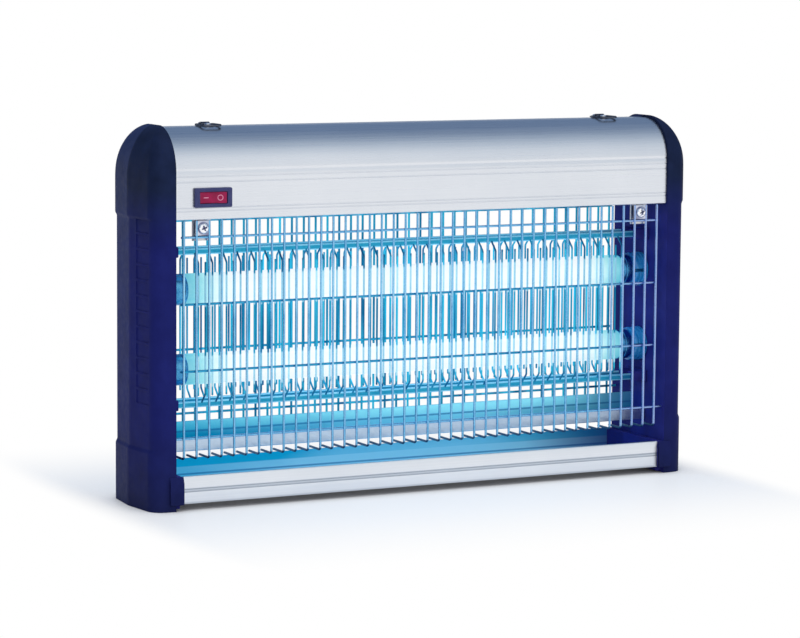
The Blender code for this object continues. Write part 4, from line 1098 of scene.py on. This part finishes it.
def make_gland():
    """A collar with a ribbed flange, bored for the mains lead."""
    place = along((0, 1, 0), GLAND)
    shape = bmesh.new()
    profile = [
        (6, 35.1), (6, 42.9), (8.6, 42.9), (9, 43.3), (9, 44.6), (8.7, 45.2), (7.0, 45.6), (6.4, 46.0),
        (6.4, 46.9), (6.0, 47.4), (5.4, 47.5),
    ]
    turn(shape, profile, place)
    bore = bmesh.new()
    turn(bore, [(3.6, 30), (3.6, 46.6), (4.4, 47.4), (4.6, 50)], place, 32)
    ribs = bmesh.new()
    for i in range(12):
        turned = place @ Matrix.Rotation(math.pi * i / 6, 4, "Z") @ Matrix.Translation((9.3, 0, 44))
        bmesh.ops.create_cube(ribs, size=1, matrix=turned @ Matrix.Diagonal((1.4, 1.2, 4, 1)))
    piece("gland", carve(shape, bore, ribs), BLACK, "housing", "black_plastic", "cable_gland", bevel=0.15)


def finish_nodes():
    """Better finishes on the CAD nodes that stay."""
    kept = {"chassis_plate": STEEL, "grid_transformer": IRON, "terminal_block": WHITE}
    for number in (1, 2):
        kept[f"ballast_{number}"] = IRON
        kept[f"starter_{number}"] = WHITE
        kept[f"starter_socket_{number}"] = WHITE
    # The rotors are white; the holders' blue on them is painted light.
    for level, _, _ in LEVELS:
        for _, hand in SIDES:
            kept[f"{level}_{hand}_rotor"] = HOLDER
    for name, finish in kept.items():
        NODES[name].data.materials.clear()
        NODES[name].data.materials.append(finish)


for cap_side, cap_hand in SIDES:
    make_end_cap(cap_side, cap_hand)
    make_hanger(cap_side, cap_hand)
    screw(
        f"{cap_hand}_guard_screw", (cap_side * TAB_X, -41.4, SCREW_HEIGHT), (0, -1, 0), (4.4, 2.4, 1.9, 8),
        "front_guard", f"{cap_hand}_grille_screw",
    )
make_cover()
make_grille(-1, "front", "front_guard")
make_grille(1, "rear", "housing")
make_tabs()
for face_sign, face_label in FACES:
    make_comb(face_sign, face_label, "upper", UPPER_RAIL, LOWER_RAIL)
    make_comb(face_sign, face_label, "lower", LOWER_RAIL, UPPER_RAIL)
make_strip(-1, "front", STRIP, FRONT_STRIP_TOP)
make_strip(1, "rear", LIT_STRIP, REAR_STRIP_TOP)
for lamp_level, lamp_height, rail_height in LEVELS:
    make_lamp(lamp_level, lamp_height)
    for cap_side, cap_hand in SIDES:
        make_lampholder(cap_side, cap_hand, lamp_level, lamp_height)
        make_insulator(cap_side, cap_hand, lamp_level, rail_height)
make_tray()
make_switch()
make_gland()
finish_nodes()


# Studio

def make_floor():
    """A pale floor that keeps the shadow close to the object, adds a painted contact shadow, and fades to
    plain white away from it.
    """
    finish = Finish("pale_floor", Roughness=0.4, Specular_IOR_Level=0.2)
    maths = finish.maths
    pale = finish.two_tone(finish.noise(3, 3), (0.92, 0.92, 0.93), (0.94, 0.94, 0.95))
    open_sky = finish.node("AmbientOcclusion", {"Distance": 0.02}, samples=8).outputs["AO"]
    # Painted contact shadow: the base colour goes dark where ambient occlusion is high.
    clear_of_painted_shadow = finish.between(open_sky, 0.0, 1.0, 0.1, 0.75)
    finish.set("Base Color", finish.blend(clear_of_painted_shadow, (0.22, 0.22, 0.25), pale))

    def beyond(axis, half, share):
        """A share of how far a place lies outside the object's half size, in metres."""
        outside = maths("SUBTRACT", finish.off(axis), half * MM)
        return finish.product(maths("MAXIMUM", outside), share)

    away = finish.reach(beyond("X", 256, 1.6), beyond("Y", 47, 0.25))
    fade = finish.between(away, 0.45, 1.0, 0.0, 0.07, interpolation_type="SMOOTHSTEP")
    rays = finish.node("LightPath").outputs
    shiny = maths("MAXIMUM", rays["Is Camera Ray"], rays["Is Glossy Ray"])
    seen = maths("MAXIMUM", shiny, rays["Is Transmission Ray"])
    amount = finish.product(seen, fade, open_sky)
    white = finish.node("Emission", {"Color": (1, 1, 1, 1), "Strength": 1.0})
    mixed = finish.node("MixShader", {0: amount, 1: finish.shader.outputs[0], 2: white.outputs[0]})
    finish.tree.links.new(mixed.outputs[0], finish.tree.nodes["Material Output"].inputs["Surface"])
    shape = bmesh.new()
    bmesh.ops.create_grid(shape, x_segments=8, y_segments=8, size=20)
    mesh = solid("floor", shape)
    mesh.materials.append(finish.material)
    floor = add("floor", mesh)


def make_world():
    """Light from the front and above, dim and blue behind, with a white horizon."""
    world = bpy.data.worlds.new("studio")
    world.use_nodes = True
    bpy.context.scene.world = world
    world.node_tree.nodes.clear()
    graph = Graph(world.node_tree)
    way = graph.node("TexCoord").outputs["Generated"]
    front = graph.node("VectorMath", {0: way, 1: (0, -0.94, 0.34)}, operation="DOT_PRODUCT")
    sky = graph.ramp(
        graph.between(front.outputs["Value"], 0.0, 1.0, -1.0, 1.0),
        (0.0, (0.15, 0.22, 0.35)), (0.46, (0.15, 0.22, 0.35)), (0.63, (0.21, 0.28, 0.40)),
        (0.77, (0.36, 0.44, 0.55)), (0.89, (0.62, 0.69, 0.77)), (0.97, (0.98, 0.99, 1.0)),
    )
    height = graph.node("SeparateXYZ", {"Vector": way}).outputs["Z"]
    horizon = graph.between(height, 1.0, 0.0, 0.05, 0.13)
    rays = graph.node("LightPath").outputs
    shiny = graph.maths("MAXIMUM", rays["Is Glossy Ray"], rays["Is Transmission Ray"])
    white = graph.maths("MAXIMUM", rays["Is Camera Ray"], graph.product(shiny, horizon))
    studio = graph.node("Background", {"Color": sky, "Strength": 1.0})
    plain = graph.node("Background", {"Color": (1, 1, 1, 1), "Strength": 1.0})
    mixed = graph.node("MixShader", {0: white, 1: studio.outputs[0], 2: plain.outputs[0]})
    graph.node("OutputWorld", {"Surface": mixed.outputs[0]})


def softbox(name, place, target, size, power):
    light = bpy.data.lights.new(name, "AREA")
    light.shape = "SQUARE"
    light.size = size
    light.energy = power
    item = add(name, light)
    item.location = place
    item.rotation_euler = (Vector(target) - Vector(place)).to_track_quat("-Z", "Y").to_euler()
    item.visible_camera = False
    item.visible_glossy = False


def make_lights():
    """Two softboxes, and a row of small blue lights in each lamp."""
    softbox("top_softbox", (0.1, -0.1, 1.9), (0, 0, 0.1), 2.2, 19)
    softbox("front_softbox", (-0.9, -1.9, 1.2), (0, 0, 0.15), 1.4, 9)
    for level, height, _ in LEVELS:
        for i, x in enumerate(range(-200, 201, 50)):
            light = bpy.data.lights.new(f"{level}_glow_{i}", "POINT")
            light.energy = 0.03
            light.color = (0.04, 0.45, 1.0)
            light.shadow_soft_size = 0.012
            item = add(light.name, light)
            item.location = (x * MM, 0, height * MM)
            item.visible_camera = False


def make_camera():
    camera = bpy.data.cameras.new("camera")
    item = add("camera", camera)
    azimuth, elevation, roll = (math.radians(angle) for angle in CAMERA_ANGLES)
    level = math.cos(elevation)
    back = Vector((math.sin(azimuth) * level, -math.cos(azimuth) * level, math.sin(elevation)))
    right = Vector((math.cos(azimuth), math.sin(azimuth), 0))
    turned = Matrix((right, back.cross(right), back)).transposed() @ Matrix.Rotation(roll, 3, "Z")
    place = Vector(CAMERA_TARGET) + back * CAMERA_DISTANCE
    item.matrix_world = Matrix.Translation(place) @ turned.to_4x4()
    camera.sensor_width = SENSOR
    camera.lens = FOCAL_PIXELS / PHOTO_WIDTH * SENSOR
    camera.shift_x = (PHOTO_WIDTH / 2 - OPTICAL_CENTRE[0]) / PHOTO_WIDTH
    camera.shift_y = (OPTICAL_CENTRE[1] - PHOTO_HEIGHT / 2) / PHOTO_WIDTH
    bpy.context.scene.camera = item


make_floor()
make_world()
make_lights()
make_camera()
bpy.context.scene.view_settings.view_transform = "Standard"
